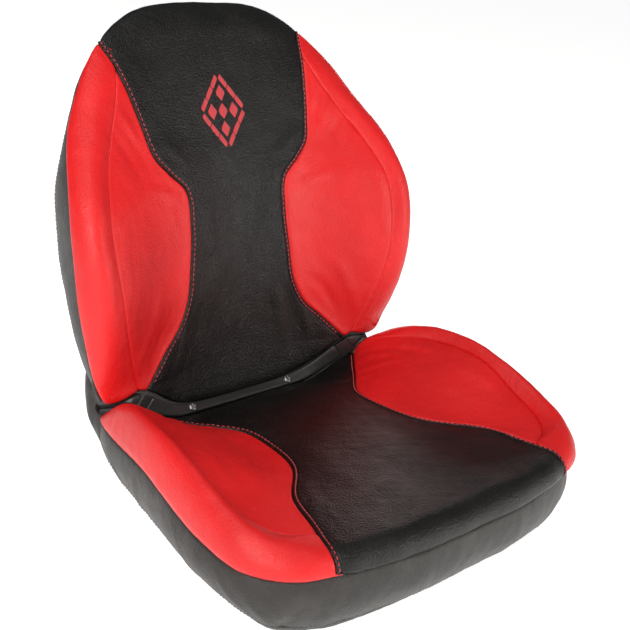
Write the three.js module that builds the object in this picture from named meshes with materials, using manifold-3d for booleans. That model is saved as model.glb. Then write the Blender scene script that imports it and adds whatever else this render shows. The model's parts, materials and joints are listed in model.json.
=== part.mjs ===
// Upholstered bucket seat with a fixed backrest: foam cushions on sheet-steel pans, a sewn vinyl cover in
// separate panels, and a moulded strip that clamps the cover down in the crease between seat and back.
// Millimetres, +Z up. The sitter faces -Y, so the sitter's left is +X. While the pieces are laid out, y = 0
// is at the crease; the whole seat is then moved so that its origin is the middle of its footprint.
import * as THREE from 'three';
import { mergeVertices } from 'three/addons/utils/BufferGeometryUtils.js';
import Module from 'manifold-3d';

const wasm = await Module();
wasm.setup();

// ---------------------------------------------------------------- driving dimensions
const COVER = 2.4;            // vinyl laminated to its thin scrim foam
const FOAM_DEPTH = 3.9;       // foam surface below the outside of the cover
const GAP = 0.3;              // between pieces that touch
const STEEL = 2;
const SEAM_GAP = 0.5;         // each side of a seam between two cover panels
const SEAT_CENTRE = -190;     // y of the middle of the cushion
const BACK_CENTRE = 310;      // z of the middle of the backrest
const PLATE_Z = 30;           // top of the seat pan's flat plate
const SEAT_SIDE_END = THREE.MathUtils.degToRad(129);   // where the seat's side band stops, at the hips
const BACK_SIDE_END = THREE.MathUtils.degToRad(130);

// Stations are [place, value]; outlines are half outlines, mirrored in x = 0.
const seatOutline = [[0, -392], [100, -389], [172, -378], [226, -355], [254, -316], [260, -262], [257, -200],
  [247, -130], [233, -66], [218, -20], [204, 0], [180, 8], [100, 8], [0, 8]];
const seatInsertSeam = [[177, -22], [134, -71], [96, -118], [93, -165], [105, -218], [150, -272],
  [168, -322], [180, -357], [184, -384]];
const seatCrestSeam = [[182, -34], [208, -88], [223, -130], [231, -180], [229, -245], [222, -290],
  [203, -320], [174, -334]];
const seatBase = [[0, -367, 7], [110, -364, 7], [178, -353, 8], [216, -328, 9], [222, -290, 9],
  [213, -205, 5.5], [208, -150, 11], [208, -100, 24], [208, -50, 40], [206, -15, 56], [200, 8, 68],
  [180, 18, 60], [140, 22, 46], [70, 22, 38], [0, 22, 38]];
const plateOutline = [[0, -338], [110, -335], [165, -322], [190, -290], [186, -200], [178, -150],
  [170, -100], [160, -50], [150, -15], [130, 8], [70, 14], [0, 14]];
const backOutline = [[0, 536], [70, 532], [112, 520], [150, 498], [184, 464], [215, 420], [237, 376],
  [247, 335], [249, 290], [246, 240], [237, 190], [225, 148], [211, 124], [185, 109], [110, 78], [0, 72]];
const backInsertSeam = [[157, 128], [124, 160], [98, 184], [83, 215], [77, 255], [73, 300], [76, 340],
  [98, 362], [116, 382], [124, 410], [133, 450], [142, 482], [150, 500]];
const backCrestSeam = [[170, 132], [188, 180], [200, 222], [207, 262], [211, 300], [209, 338], [194, 378],
  [174, 418], [158, 455], [150, 486]];

// ---------------------------------------------------------------- curves and lookups
const clamp = THREE.MathUtils.clamp;
const lerp = THREE.MathUtils.lerp;
const vec = (x, y, z) => new THREE.Vector3(x, y, z);

function smoothstep(t) {
  const s = clamp(t, 0, 1);
  return s * s * (3 - 2 * s);
}

function smoothCurve(points, steps = 12) {
  const curve = new THREE.CatmullRomCurve3(points.map(([x, y, z = 0]) => vec(x, y, z)), false, 'centripetal');
  return curve.getPoints((points.length - 1) * steps);
}

function interpolate(v, keys, values) {
  if (v <= keys[0]) return values[0];
  const end = keys.length - 1;
  if (v >= keys[end]) return values[end];
  let low = 0;
  let high = end;
  while (high - low > 1) {
    const middle = (low + high) >> 1;
    if (keys[middle] <= v) low = middle;
    else high = middle;
  }
  return lerp(values[low], values[high], (v - keys[low]) / (keys[high] - keys[low]));
}

function profile(pairs) {
  const points = smoothCurve([...pairs].sort((a, b) => a[0] - b[0]));
  const keys = points.map((p) => p.x);
  const values = points.map((p) => p.y);
  return (v) => interpolate(v, keys, values);
}

// x as a function of y along a curve whose y runs one way
function widthAlong(points) {
  return profile(points.map(([x, y]) => [y, x]));
}

function evenly(points, count) {
  const path = new THREE.CurvePath();
  for (let i = 1; i < points.length; i += 1) path.add(new THREE.LineCurve3(points[i - 1], points[i]));
  return path.getSpacedPoints(count);
}

// ---------------------------------------------------------------- cushion faces
// A cushion face is seen square on as a plan (p, q): x and y on the seat, x and -z on the back. Its height
// over the plan follows top(p, q), and a rolled edge then takes it down to the edge seam. A place on the
// face is (angle, reach): angle from -q round the centre, reach 0 at the centre, 1 where the roll starts
// and 2 at the edge seam. The same place laid flat is (X, Y), with the roll pressed out to a band.
class CushionFace {
  constructor({ centre, outline, top, edge, roll, tuck, inset, band }) {
    Object.assign(this, { centre, top, edge, roll, tuck, inset, band });
    const points = smoothCurve(outline, 24);
    this.angles = points.map((p) => Math.atan2(p.x, centre - p.y));
    this.radii = points.map((p) => Math.hypot(p.x, p.y - centre));
  }

  radius(angle) {
    return interpolate(Math.abs(angle), this.angles, this.radii);
  }

  place(angle, reach) {
    const full = this.radius(angle);
    const start = full - this.roll;
    const phi = clamp(reach - 1, 0, 1) * this.tuck;
    const late = clamp((phi - Math.PI / 2) / (this.tuck - Math.PI / 2), 0, 1);
    let rho = start * reach;
    if (reach > 1) rho = start + this.roll * Math.sin(Math.min(phi, Math.PI / 2));
    const topRho = rho;
    rho -= this.inset(angle) * late ** 1.5;
    const [c, s] = [Math.cos(angle), Math.sin(angle)];
    const at = (r) => [r * s, this.centre - r * c];
    const edge = this.edge(...at(full));
    const k = (Math.cos(phi) - Math.cos(this.tuck)) / (1 - Math.cos(this.tuck));
    return [...at(rho), edge + (this.top(...at(topRho)) - edge) * k];
  }

  flat(angle, reach) {
    const start = this.radius(angle) - this.roll;
    const r = reach <= 1 ? start * reach : start + (reach - 1) * this.band;
    return vec(r * Math.sin(angle), this.centre - r * Math.cos(angle), 0);
  }

  unflat(X, Y) {
    const angle = Math.atan2(X, this.centre - Y);
    const r = Math.hypot(X, Y - this.centre);
    const start = this.radius(angle) - this.roll;
    return [angle, r <= start ? r / start : 1 + (r - start) / this.band];
  }

  // a seam given in plan, laid flat
  flatFromPlan([p, q]) {
    const angle = Math.atan2(p, this.centre - q);
    const r = Math.hypot(p, q - this.centre);
    const start = this.radius(angle) - this.roll;
    if (r <= start) return this.flat(angle, r / start);
    return this.flat(angle, 1 + Math.asin(clamp((r - start) / this.roll, 0, 1)) / this.tuck);
  }
}

const easeIn = (t) => clamp(t, 0, 1) ** 2 * (2 - clamp(t, 0, 1));
const swell = (t) => Math.sin(clamp(t, 0, 1) * Math.PI / 2);

// height of a bolster over the centre panel: rising to the crest seam, then swelling to the outer edge
function bolster(x, insert, crest, outer, crestHeight, outerHeight) {
  return crestHeight * easeIn((x - insert) / (crest - insert))
    + (outerHeight - crestHeight) * swell((x - crest) / (outer - crest));
}

const seatInsertAt = widthAlong(seatInsertSeam);
const seatCrestAt = widthAlong(seatCrestSeam);
const seatWidthAt = widthAlong(seatOutline.slice(4, 10));
const seatMiddleZ = profile([[-420, 104], [-392, 105], [-330, 107], [-250, 107], [-180, 105], [-120, 102],
  [-70, 94], [-30, 79], [-12, 71.5], [0, 67], [12, 65]]);
const seatTrough = profile([[-420, 0], [-300, 1], [-200, 3], [-120, 6], [-70, 15], [-22, 27], [0, 33], [12, 34]]);
const seatCrestRise = profile([[-420, 0], [-345, 0], [-320, 1], [-290, 6], [-250, 16], [-215, 30],
  [-180, 38], [-130, 38], [-90, 32], [-50, 22], [-20, 13], [0, 6], [12, 4]]);
const seatOuterRise = profile([[-420, 0], [-375, 0], [-330, 8], [-290, 22], [-250, 39], [-205, 53],
  [-170, 63], [-120, 62], [-87, 50], [-50, 31], [-20, 13], [0, 6], [12, 4]]);
const seatEdgeZ = profile([[-420, 80], [-390, 80], [-330, 77], [-250, 82], [-200, 90], [-150, 99],
  [-110, 103], [-60, 103], [-20, 101], [12, 101]]);
const creaseZ = (x) => 57 + 44 * smoothstep((Math.abs(x) - 88) / 110);

const seatFace = new CushionFace({
  centre: SEAT_CENTRE,
  outline: seatOutline,
  roll: 26,
  tuck: THREE.MathUtils.degToRad(112),
  band: 44,
  inset: (angle) => 2 + 9 * smoothstep((Math.abs(angle) - 0.3) / 0.6)
    * (1 - smoothstep((Math.abs(angle) - 1.7) / 0.5)),
  top(x, y) {
    const across = Math.abs(x);
    const insert = seatInsertAt(y);
    const crest = Math.max(seatCrestAt(y), insert + 4);
    const outer = Math.max(seatWidthAt(y) - 6, crest + 10);
    return seatMiddleZ(y) + seatTrough(y) * smoothstep((across - 90) / 100)
      + bolster(across, insert, crest, outer, seatCrestRise(y), seatOuterRise(y));
  },
  edge(x, y) {
    return lerp(seatEdgeZ(y), creaseZ(x), smoothstep((y + 14) / 16));
  },
});

const backInsertAt = widthAlong(backInsertSeam);
const backCrestAt = widthAlong(backCrestSeam);
const backWidthAt = widthAlong(backOutline.slice(3, 12));
const backMiddleY = profile([[40, 2], [70, 6], [90, 8], [120, 12], [200, 20], [260, 27], [300, 34], [360, 48],
  [421, 71], [480, 96], [541, 126], [560, 132]]);
const backInsertY = profile([[40, -30], [100, -26], [128, -22], [140, -17], [160, -8], [180, 0], [200, 4],
  [260, 14], [300, 22], [340, 31], [360, 35], [380, 41], [400, 50], [420, 59], [460, 80], [500, 108],
  [541, 124], [560, 130]]);
const backCrestRise = profile([[40, 0], [100, 0], [135, 3], [180, 30], [220, 44], [260, 51], [300, 50],
  [340, 43], [360, 33], [380, 22], [400, 14], [420, 8], [440, 4], [480, 0], [560, 0]]);
const backOuterRise = profile([[40, 0], [100, 0], [135, 6], [180, 38], [220, 53], [260, 60], [300, 62],
  [340, 56], [360, 48], [380, 38], [400, 28], [420, 18], [440, 10], [480, 3], [500, 0], [560, 0]]);
const backEdgeY = profile([[40, -14], [100, -16], [137, -19], [190, -11], [251, 2], [311, 12], [365, 34],
  [421, 77], [463, 99], [500, 118], [525, 140], [541, 150], [560, 152]]);
const backRearY = profile([[60, 36], [100, 44], [160, 58], [231, 74], [290, 87], [340, 97], [400, 112],
  [430, 121], [470, 137], [510, 160], [541, 176], [560, 183]]);

const backFace = new CushionFace({
  centre: -BACK_CENTRE,
  outline: backOutline.map(([x, z]) => [x, -z]),
  roll: 28,
  tuck: THREE.MathUtils.degToRad(120),
  band: 46,
  inset: (angle) => 2 + 18 * (1 - smoothstep((Math.abs(angle) - 0.3) / 0.7))
    + 20 * smoothstep((Math.abs(angle) - 0.6) / 0.5) * (1 - smoothstep((Math.abs(angle) - 1.7) / 0.45)),
  top(x, q) {
    const z = -q;
    const across = Math.abs(x);
    const insert = backInsertAt(z);
    const crest = Math.max(backCrestAt(z), insert + 4);
    const outer = Math.max(backWidthAt(z) - 7, crest + 8);
    const sag = (backMiddleY(z) - backInsertY(z)) * Math.min(1, across / insert) ** 2;
    return sag - backMiddleY(z) + bolster(across, insert, crest, outer, backCrestRise(z), backOuterRise(z));
  },
  edge(x, q) {
    const atSide = smoothstep((Math.abs(x) - 100) / 100);
    return -lerp(backEdgeY(-q), lerp(6, -1, atSide), smoothstep((130 + q) / 22));
  },
});

// plan and height to space: the seat lies, and the back stands and faces -Y
const lying = ([p, q, height]) => vec(p, q, height);
const standing = ([p, q, height]) => vec(p, -height, -q);
const seatAt = (angle, reach) => lying(seatFace.place(angle, reach));
const backAt = (angle, reach) => standing(backFace.place(angle, reach));

// a face as a function of flat (X, Y), with its outward normal
function surface(face, toSpace, outward) {
  const step = 1.2;
  const point = (X, Y) => toSpace(face.place(...face.unflat(X, Y)));
  const radial = (angle) => toSpace([Math.sin(angle), -Math.cos(angle), 0]);
  const normal = (X, Y) => {
    const across = point(X + step, Y).sub(point(X - step, Y));
    const along = point(X, Y + step).sub(point(X, Y - step));
    return across.cross(along).multiplyScalar(outward).normalize();
  };
  return { face, point, normal, radial, inward: -outward };
}

const seatSurface = surface(seatFace, lying, 1);
const backSurface = surface(backFace, standing, -1);

// ---------------------------------------------------------------- mesh building
function signedVolume(positions, index) {
  let total = 0;
  const p = (i) => vec(...positions[i]);
  for (let t = 0; t < index.length; t += 3) {
    total += p(index[t]).dot(p(index[t + 1]).cross(p(index[t + 2])));
  }
  return total;
}

function closedGeometry(points, index) {
  const positions = points.map((p) => [p.x, p.y, p.z]);
  if (signedVolume(positions, index) < 0) index.reverse();
  const geometry = new THREE.BufferGeometry();
  geometry.setAttribute('position', new THREE.Float32BufferAttribute(positions.flat(), 3));
  geometry.setIndex(index);
  return geometry;
}

function gridNormals(grid) {
  const rows = grid.length - 1;
  const columns = grid[0].length - 1;
  return grid.map((row, i) => row.map((_, j) => {
    const down = grid[Math.min(i + 1, rows)][j].clone().sub(grid[Math.max(i - 1, 0)][j]);
    const across = grid[i][Math.min(j + 1, columns)].clone().sub(grid[i][Math.max(j - 1, 0)]);
    return across.cross(down).normalize();
  }));
}

// a curved sheet: the grid is its outer side and the inner side lies one thickness below it
function sheet(grid, normals, thickness) {
  const rows = grid.length;
  const columns = grid[0].length;
  const outer = grid.flat();
  const inner = outer.map((p, i) => p.clone().addScaledVector(normals.flat()[i], -thickness));
  const index = [];
  const under = rows * columns;
  const quad = (a, b, c, d) => index.push(a, b, c, a, c, d);
  for (let i = 0; i < rows - 1; i += 1) {
    for (let j = 0; j < columns - 1; j += 1) {
      const a = i * columns + j;
      quad(a, a + columns, a + columns + 1, a + 1);
      quad(under + a, under + a + 1, under + a + columns + 1, under + a + columns);
    }
  }
  for (let j = 0; j < columns - 1; j += 1) {
    const far = (rows - 1) * columns + j;
    quad(j, j + 1, under + j + 1, under + j);
    quad(far + 1, far, under + far, under + far + 1);
  }
  for (let i = 0; i < rows - 1; i += 1) {
    const left = i * columns;
    const right = left + columns - 1;
    quad(left + columns, left, under + left, under + left + columns);
    quad(right, right + columns, under + right + columns, under + right);
  }
  return closedGeometry([...outer, ...inner], index);
}

// a solid from closed rings of points, shut at each end by a point
function ringSolid(start, rings, end) {
  const count = rings[0].length;
  const points = [start, ...rings.flat(), end];
  const index = [];
  const at = (ring, k) => 1 + ring * count + (k % count);
  for (let k = 0; k < count; k += 1) {
    index.push(0, at(0, k), at(0, k + 1));
    for (let r = 0; r < rings.length - 1; r += 1) {
      index.push(at(r, k), at(r + 1, k), at(r + 1, k + 1));
      index.push(at(r, k), at(r + 1, k + 1), at(r, k + 1));
    }
    index.push(points.length - 1, at(rings.length - 1, k + 1), at(rings.length - 1, k));
  }
  return closedGeometry(points, index);
}

// a closed section carried along frames of {origin, across, up}
function sweep(section, frames) {
  const shape = section.map(([a, b]) => new THREE.Vector2(a, b));
  if (THREE.ShapeUtils.area(shape) < 0) shape.reverse();
  const n = shape.length;
  const points = frames.flatMap(({ origin, across, up }) => shape.map((s) => origin.clone()
    .addScaledVector(across, s.x).addScaledVector(up, s.y)));
  const index = [];
  for (let f = 0; f < frames.length - 1; f += 1) {
    for (let k = 0; k < n; k += 1) {
      const a = f * n + k;
      const b = f * n + ((k + 1) % n);
      index.push(a, a + n, b + n, a, b + n, b);
    }
  }
  const end = (frames.length - 1) * n;
  for (const [a, b, c] of THREE.ShapeUtils.triangulateShape(shape, [])) {
    index.push(a, b, c, end + c, end + b, end + a);
  }
  return closedGeometry(points, index);
}

function toManifold(geometry) {
  const bare = geometry.clone();
  bare.deleteAttribute('normal');
  bare.deleteAttribute('uv');
  const merged = mergeVertices(bare, 1e-5);
  return new wasm.Manifold(new wasm.Mesh({
    numProp: 3,
    vertProperties: new Float32Array(merged.attributes.position.array),
    triVerts: new Uint32Array(merged.index.array),
  }));
}

function fromManifold(solid) {
  const mesh = solid.getMesh();
  const geometry = new THREE.BufferGeometry();
  geometry.setAttribute('position', new THREE.Float32BufferAttribute(mesh.vertProperties, 3));
  geometry.setIndex(Array.from(mesh.triVerts));
  return geometry;
}

// cut away the cutters and keep the largest piece left
function cut(geometry, cutters) {
  let solid = toManifold(geometry);
  for (const cutter of cutters) solid = solid.subtract(toManifold(cutter));
  const pieces = solid.decompose().sort((a, b) => b.volume() - a.volume());
  return fromManifold(pieces[0]);
}

function join(pieces) {
  return fromManifold(pieces.map(toManifold).reduce((a, b) => a.add(b)));
}

// a cylinder or prism from one end to the other
function rod(start, end, radius, sides = 8) {
  const length = start.distanceTo(end);
  const geometry = new THREE.CylinderGeometry(radius, radius, length, sides);
  const turn = new THREE.Quaternion().setFromUnitVectors(vec(0, 1, 0), end.clone().sub(start).normalize());
  geometry.applyQuaternion(turn);
  const middle = start.clone().add(end).multiplyScalar(0.5);
  return geometry.translate(middle.x, middle.y, middle.z);
}

// ---------------------------------------------------------------- materials and the node list
const part = new THREE.Group();
const layout = new THREE.Group();
part.add(layout);
const both = [['left', 1], ['right', -1]];

const finishes = {
  black_vinyl: { color: '#1b1a19', roughness: 0.55, metalness: 0 },
  red_vinyl: { color: '#d8242b', roughness: 0.5, metalness: 0 },
  mesh_fabric: { color: '#121212', roughness: 0.9, metalness: 0 },
  red_thread: { color: '#b3242c', roughness: 0.7, metalness: 0 },
  foam: { color: '#c9b98f', roughness: 0.95, metalness: 0 },
  painted_steel: { color: '#26272a', roughness: 0.45, metalness: 0.6 },
  black_plastic: { color: '#161616', roughness: 0.4, metalness: 0 },
  zinc: { color: '#b9bcc0', roughness: 0.3, metalness: 1 },
};

function add(name, finish, geometry) {
  const mesh = new THREE.Mesh(geometry, new THREE.MeshStandardMaterial({ ...finishes[finish] }));
  mesh.name = name;
  layout.add(mesh);
}

const mirrorPoint = (p) => vec(-p.x, p.y, p.z);
const mirrorFlat = (curve) => curve.map(mirrorPoint);

// ---------------------------------------------------------------- cover panels
// a patch between four evenly stepped curves: left and right run from rear to front, rear and front from
// left to right
function coonsPatch(rear, front, left, right) {
  const rows = left.length - 1;
  const columns = rear.length - 1;
  return left.map((_, i) => rear.map((__, j) => {
    const [u, v] = [j / columns, i / rows];
    const corners = rear[0].clone().multiplyScalar((1 - u) * (1 - v))
      .addScaledVector(rear[columns], u * (1 - v))
      .addScaledVector(front[0], (1 - u) * v)
      .addScaledVector(front[columns], u * v);
    return rear[j].clone().multiplyScalar(1 - v).addScaledVector(front[j], v)
      .addScaledVector(left[i], 1 - u).addScaledVector(right[i], u).sub(corners);
  }));
}

function panel(surfaceOf, patch) {
  const grid = patch.map((row) => row.map((p) => surfaceOf.point(p.x, p.y)));
  const normals = patch.map((row) => row.map((p) => surfaceOf.normal(p.x, p.y)));
  return sheet(grid, normals, COVER);
}

// a flat curve moved sideways: positive to the left of its direction
function offsetFlat(curve, distance) {
  return curve.map((p, i) => {
    const ahead = curve[Math.min(i + 1, curve.length - 1)];
    const behind = curve[Math.max(i - 1, 0)];
    const along = ahead.clone().sub(behind).normalize();
    return vec(p.x - along.y * distance, p.y + along.x * distance, 0);
  });
}

const last = (list) => list[list.length - 1];
const angleOf = (face, p) => Math.atan2(p.x, face.centre - p.y);
const steps = (count) => Array.from({ length: count + 1 }, (_, i) => i / count);

const ALONG_CREST = 10;      // steps along the crest seam
const ALONG_TAIL = 5;        // steps along the insert seam beyond the crest seam's end
const ALONG_OUTER = ALONG_CREST + ALONG_TAIL;
const TIP_STEP = 0.024;       // the blunt tip of an outer bolster panel, as an angle
const ACROSS_CENTER = 8;
const ACROSS_INNER = 3;
const ACROSS_OUTER = 5;

// the seams of half a cushion, laid flat; the insert seam and the crest seam run from the crease outwards
function layOutSeams(surfaceOf, insertPlan, crestPlan, creaseMiddle, sideEnd) {
  const { face } = surfaceOf;
  const flatten = (plan) => smoothCurve(plan).map((p) => face.flatFromPlan([p.x, p.y]));
  const insert = flatten(insertPlan);
  const crestLine = flatten(crestPlan);
  const distances = insert.map((p) => p.distanceTo(last(crestLine)));
  const meet = distances.indexOf(Math.min(...distances));
  const tipAngle = angleOf(face, last(insert));
  insert.push(face.flat(tipAngle, 2));
  const tail = evenly(insert.slice(meet), ALONG_TAIL);
  const seam = [...evenly(insert.slice(0, meet + 1), ALONG_CREST), ...tail.slice(1)];
  const crest = evenly(crestLine, ALONG_CREST);
  return { face, seam, crest, tipAngle, creaseMiddle, sideEnd };
}

// the flat patches of a cushion: with a gap they are cover panels, and with none they close up for the foam
function cushionPatches({ face, seam, crest, tipAngle, creaseMiddle, sideEnd }, gap) {
  const reach = 2 - gap / face.band;
  const tipStep = gap > 0 ? TIP_STEP : 0;
  const centreSide = offsetFlat(seam, -gap);
  const start = centreSide[0];
  const crease = smoothCurve([-1, -0.6, 0, 0.6, 1].map((share) => {
    const middle = Math.abs(share) < 1 ? lerp(start.y, creaseMiddle, share === 0 ? 1 : 0.7) : start.y;
    return [start.x * share, middle];
  }));
  const front = steps(ACROSS_CENTER).map((u) => face.flat(lerp(-tipAngle, tipAngle, u), reach));
  front[0] = mirrorPoint(last(centreSide));
  front[ACROSS_CENTER] = last(centreSide);
  const center = coonsPatch(evenly(crease, ACROSS_CENTER), front, mirrorFlat(centreSide), centreSide);

  const crestLine = [...crest];
  if (gap === 0) crestLine[ALONG_CREST] = seam[ALONG_CREST];
  const innerLeft = offsetFlat(seam, gap).slice(0, ALONG_CREST + 1);
  const innerRight = offsetFlat(crestLine, -gap);
  const inner = coonsPatch(evenly([innerLeft[0], innerRight[0]], ACROSS_INNER),
    evenly([last(innerLeft), last(innerRight)], ACROSS_INNER), innerLeft, innerRight);

  const outerLeft = [...offsetFlat(crestLine, gap), ...offsetFlat(seam, gap).slice(ALONG_CREST + 1)];
  const outerRight = steps(ALONG_OUTER).map((v) => face.flat(lerp(sideEnd, tipAngle + tipStep, v), reach));
  const outer = coonsPatch(evenly([outerLeft[0], outerRight[0]], ACROSS_OUTER),
    evenly([last(outerLeft), last(outerRight)], ACROSS_OUTER), outerLeft, outerRight);
  return { center, inner, outer };
}

// the same piece for the other side of the seat
function mirrorGeometry(geometry) {
  const mirrored = geometry.clone().scale(-1, 1, 1);
  mirrored.setIndex(Array.from(geometry.index.array).reverse());
  return mirrored;
}

function addPair(nameFor, finish, leftGeometry) {
  add(nameFor('left'), finish, leftGeometry);
  add(nameFor('right'), finish, mirrorGeometry(leftGeometry));
}

function addCover(prefix, surfaceOf, seams) {
  const { center, inner, outer } = cushionPatches(seams, SEAM_GAP);
  add(`${prefix}_center_panel`, 'black_vinyl', panel(surfaceOf, center));
  addPair((side) => `${prefix}_${side}_inner_bolster`, 'red_vinyl', panel(surfaceOf, inner));
  addPair((side) => `${prefix}_${side}_outer_bolster`, 'red_vinyl', panel(surfaceOf, outer));
}

const seatSeams = layOutSeams(seatSurface, seatInsertSeam, seatCrestSeam, -13, SEAT_SIDE_END);
const toBackPlan = (points) => points.map(([x, z]) => [x, -z]);
const backSeams = layOutSeams(backSurface, toBackPlan(backInsertSeam), toBackPlan(backCrestSeam), -85,
  BACK_SIDE_END);
addCover('seat', seatSurface, seatSeams);
addCover('back', backSurface, backSeams);

// angles of the side band's columns, in step with the panels above them
function bandAngles({ tipAngle, sideEnd }) {
  const outer = steps(ALONG_OUTER).map((v) => lerp(sideEnd, tipAngle + TIP_STEP, v));
  const middle = steps(ACROSS_CENTER).map((u) => lerp(tipAngle, -tipAngle, u));
  return [...outer, ...middle, ...outer.map((angle) => -angle).reverse()];
}

// ---------------------------------------------------------------- side bands
const baseCurve = smoothCurve(seatBase);
const baseAngles = baseCurve.map((p) => Math.atan2(p.x, SEAT_CENTRE - p.y));

function seatBaseAt(angle, inset = 0, lift = 0) {
  const across = Math.abs(angle);
  const at = (key) => interpolate(across, baseAngles, baseCurve.map((p) => p[key]));
  const out = vec(Math.sin(across), -Math.cos(across), 0);
  const point = vec(at('x'), at('y'), at('z') + lift).addScaledVector(out, -inset);
  return angle < 0 ? mirrorPoint(point) : point;
}

// the side of the seat from the edge seam (drop 0) to the base (drop 1)
function seatSide(angle, drop) {
  const edge = seatAt(angle, 2);
  const base = seatBaseAt(angle);
  const lean = drop ** 1.7;
  const bulge = (9 - 6 * smoothstep((Math.abs(angle) - 1.2) / 0.9)) * Math.sin(drop * Math.PI);
  return vec(lerp(edge.x, base.x, lean) + bulge * Math.sin(angle),
    lerp(edge.y, base.y, lean) - bulge * Math.cos(angle), lerp(edge.z, base.z, drop));
}

const backRearInset = (angle) => 26 + 10 * smoothstep((Math.abs(angle) - 0.8) / 0.5);

function backRearAt(angle, inset, forward) {
  const r = backFace.radius(angle) - inset;
  const z = BACK_CENTRE + r * Math.cos(angle);
  return vec(r * Math.sin(angle), backRearY(z) - forward, z);
}

// the side of the back from the edge seam (depth 0) to its rear corner (depth 1)
function backSide(angle, depth) {
  const bulge = 6 * Math.sin(depth * Math.PI) ** 0.8;
  return backAt(angle, 2).lerp(backRearAt(angle, backRearInset(angle), 0), depth)
    .add(vec(bulge * Math.sin(angle), 0, bulge * Math.cos(angle)));
}

function band(at, angles, drops) {
  return angles.map((angle) => drops.map((drop) => at(angle, drop)));
}

function thicken(grid, thickness, outwardFrom) {
  const normals = gridNormals(grid);
  const i = grid.length >> 1;
  const j = grid[0].length >> 1;
  const sign = normals[i][j].dot(grid[i][j].clone().sub(outwardFrom)) < 0 ? -1 : 1;
  return sheet(grid, normals.map((row) => row.map((n) => n.multiplyScalar(sign))), thickness);
}

const seatHeart = vec(0, SEAT_CENTRE, 60);
const backHeart = vec(0, 70, BACK_CENTRE);
const HEM_DROP = 0.87;        // the hem seam, just above the base
const HEM_TURN = 13;          // how far the hem strip turns under

const within = (from, to, count) => steps(count).map((t) => lerp(from, to, t));
const seatDrops = within(0.012, HEM_DROP, 4);
const backDepths = within(0.012, 0.99, 3);
add('seat_boxing', 'black_vinyl', thicken(band(seatSide, bandAngles(seatSeams), seatDrops), COVER, seatHeart));
add('back_boxing', 'black_vinyl', thicken(band(backSide, bandAngles(backSeams), backDepths), COVER, backHeart));

const isRear = (angle) => smoothstep((Math.abs(angle) - 1.75) / 0.35);   // 1 behind the hips, 0 before them

function hemAt(angle, along) {
  const down = 0.4;
  if (along <= down) return seatSide(angle, lerp(HEM_DROP + 0.006, 1, along / down));
  const turned = (along - down) / (1 - down);
  return seatBaseAt(angle, HEM_TURN * (1 - 0.7 * isRear(angle)) * turned, 1.2 * turned);
}
add('seat_hem_strip', 'black_vinyl', thicken(
  band(hemAt, bandAngles(seatSeams), [0, 0.4, 1]), COVER * 0.6, vec(0, SEAT_CENTRE, 40)));

// ---------------------------------------------------------------- the crease
// half of a cushion's crease edge, from the middle to the hip
function creaseEdge(surfaceOf, seams) {
  const { center, inner, outer } = cushionPatches(seams, 0);
  const flat = [...center[0].slice(ACROSS_CENTER / 2), ...inner[0].slice(1), ...outer[0].slice(1)];
  return new THREE.CatmullRomCurve3(flat.map((p) => surfaceOf.point(p.x, p.y)), false, 'centripetal');
}
const seatCrease = creaseEdge(seatSurface, seatSeams);
const backCrease = creaseEdge(backSurface, backSeams);
const creaseBack = 7;
const SEAT_BED = 0.57;         // how far across the crease each cushion's foam goes under it
const BACK_BED = 0.3;
const hipNotch = vec(213, -4, 117);

// share runs across the seat from hip (-1) to hip (1), and t from the seat's edge (0) to the back's (1)
function creasePoint(share, t) {
  const from = seatCrease.getPointAt(Math.abs(share));
  const to = backCrease.getPointAt(Math.abs(share));
  const bottom = vec(from.x, creaseBack, creaseZ(from.x))
    .lerp(hipNotch, clamp((Math.abs(share) - 0.75) / 0.25, 0, 1) ** 2);
  const control = bottom.multiplyScalar(2).sub(from.clone().add(to).multiplyScalar(0.5));
  const point = from.multiplyScalar((1 - t) ** 2).addScaledVector(control, 2 * t * (1 - t))
    .addScaledVector(to, t * t);
  return share < 0 ? mirrorPoint(point) : point;
}

// ---------------------------------------------------------------- foam
// what lies round the rim of a cushion: places on its side band, then places along its crease
function rimOf(surfaceOf, seams, patches) {
  const { center, inner, outer } = patches;
  const onSide = [
    ...outer.map((row) => last(row)),
    ...[...last(center)].reverse().slice(1, -1),
    ...outer.map((row) => mirrorPoint(last(row))).reverse(),
  ];
  const half = [...inner[0].slice(1), ...outer[0].slice(1)];
  const onCrease = [...mirrorFlat(half).reverse().slice(1), ...center[0], ...half.slice(0, -1)];
  const whole = [last(onSide), ...onCrease, onSide[0]].map((p) => surfaceOf.point(p.x, p.y));
  const lengths = whole.map((p, i) => (i === 0 ? 0 : p.distanceTo(whole[i - 1])));
  const total = lengths.reduce((a, b) => a + b);
  let run = 0;
  const shares = lengths.map((step) => {
    run += step;
    return (2 * run) / total - 1;
  });
  return [
    ...onSide.map((flat) => ({ flat, angle: angleOf(surfaceOf.face, flat) })),
    ...onCrease.map((flat, i) => ({ flat, angle: angleOf(surfaceOf.face, flat), share: shares[i + 1] })),
  ];
}

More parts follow.
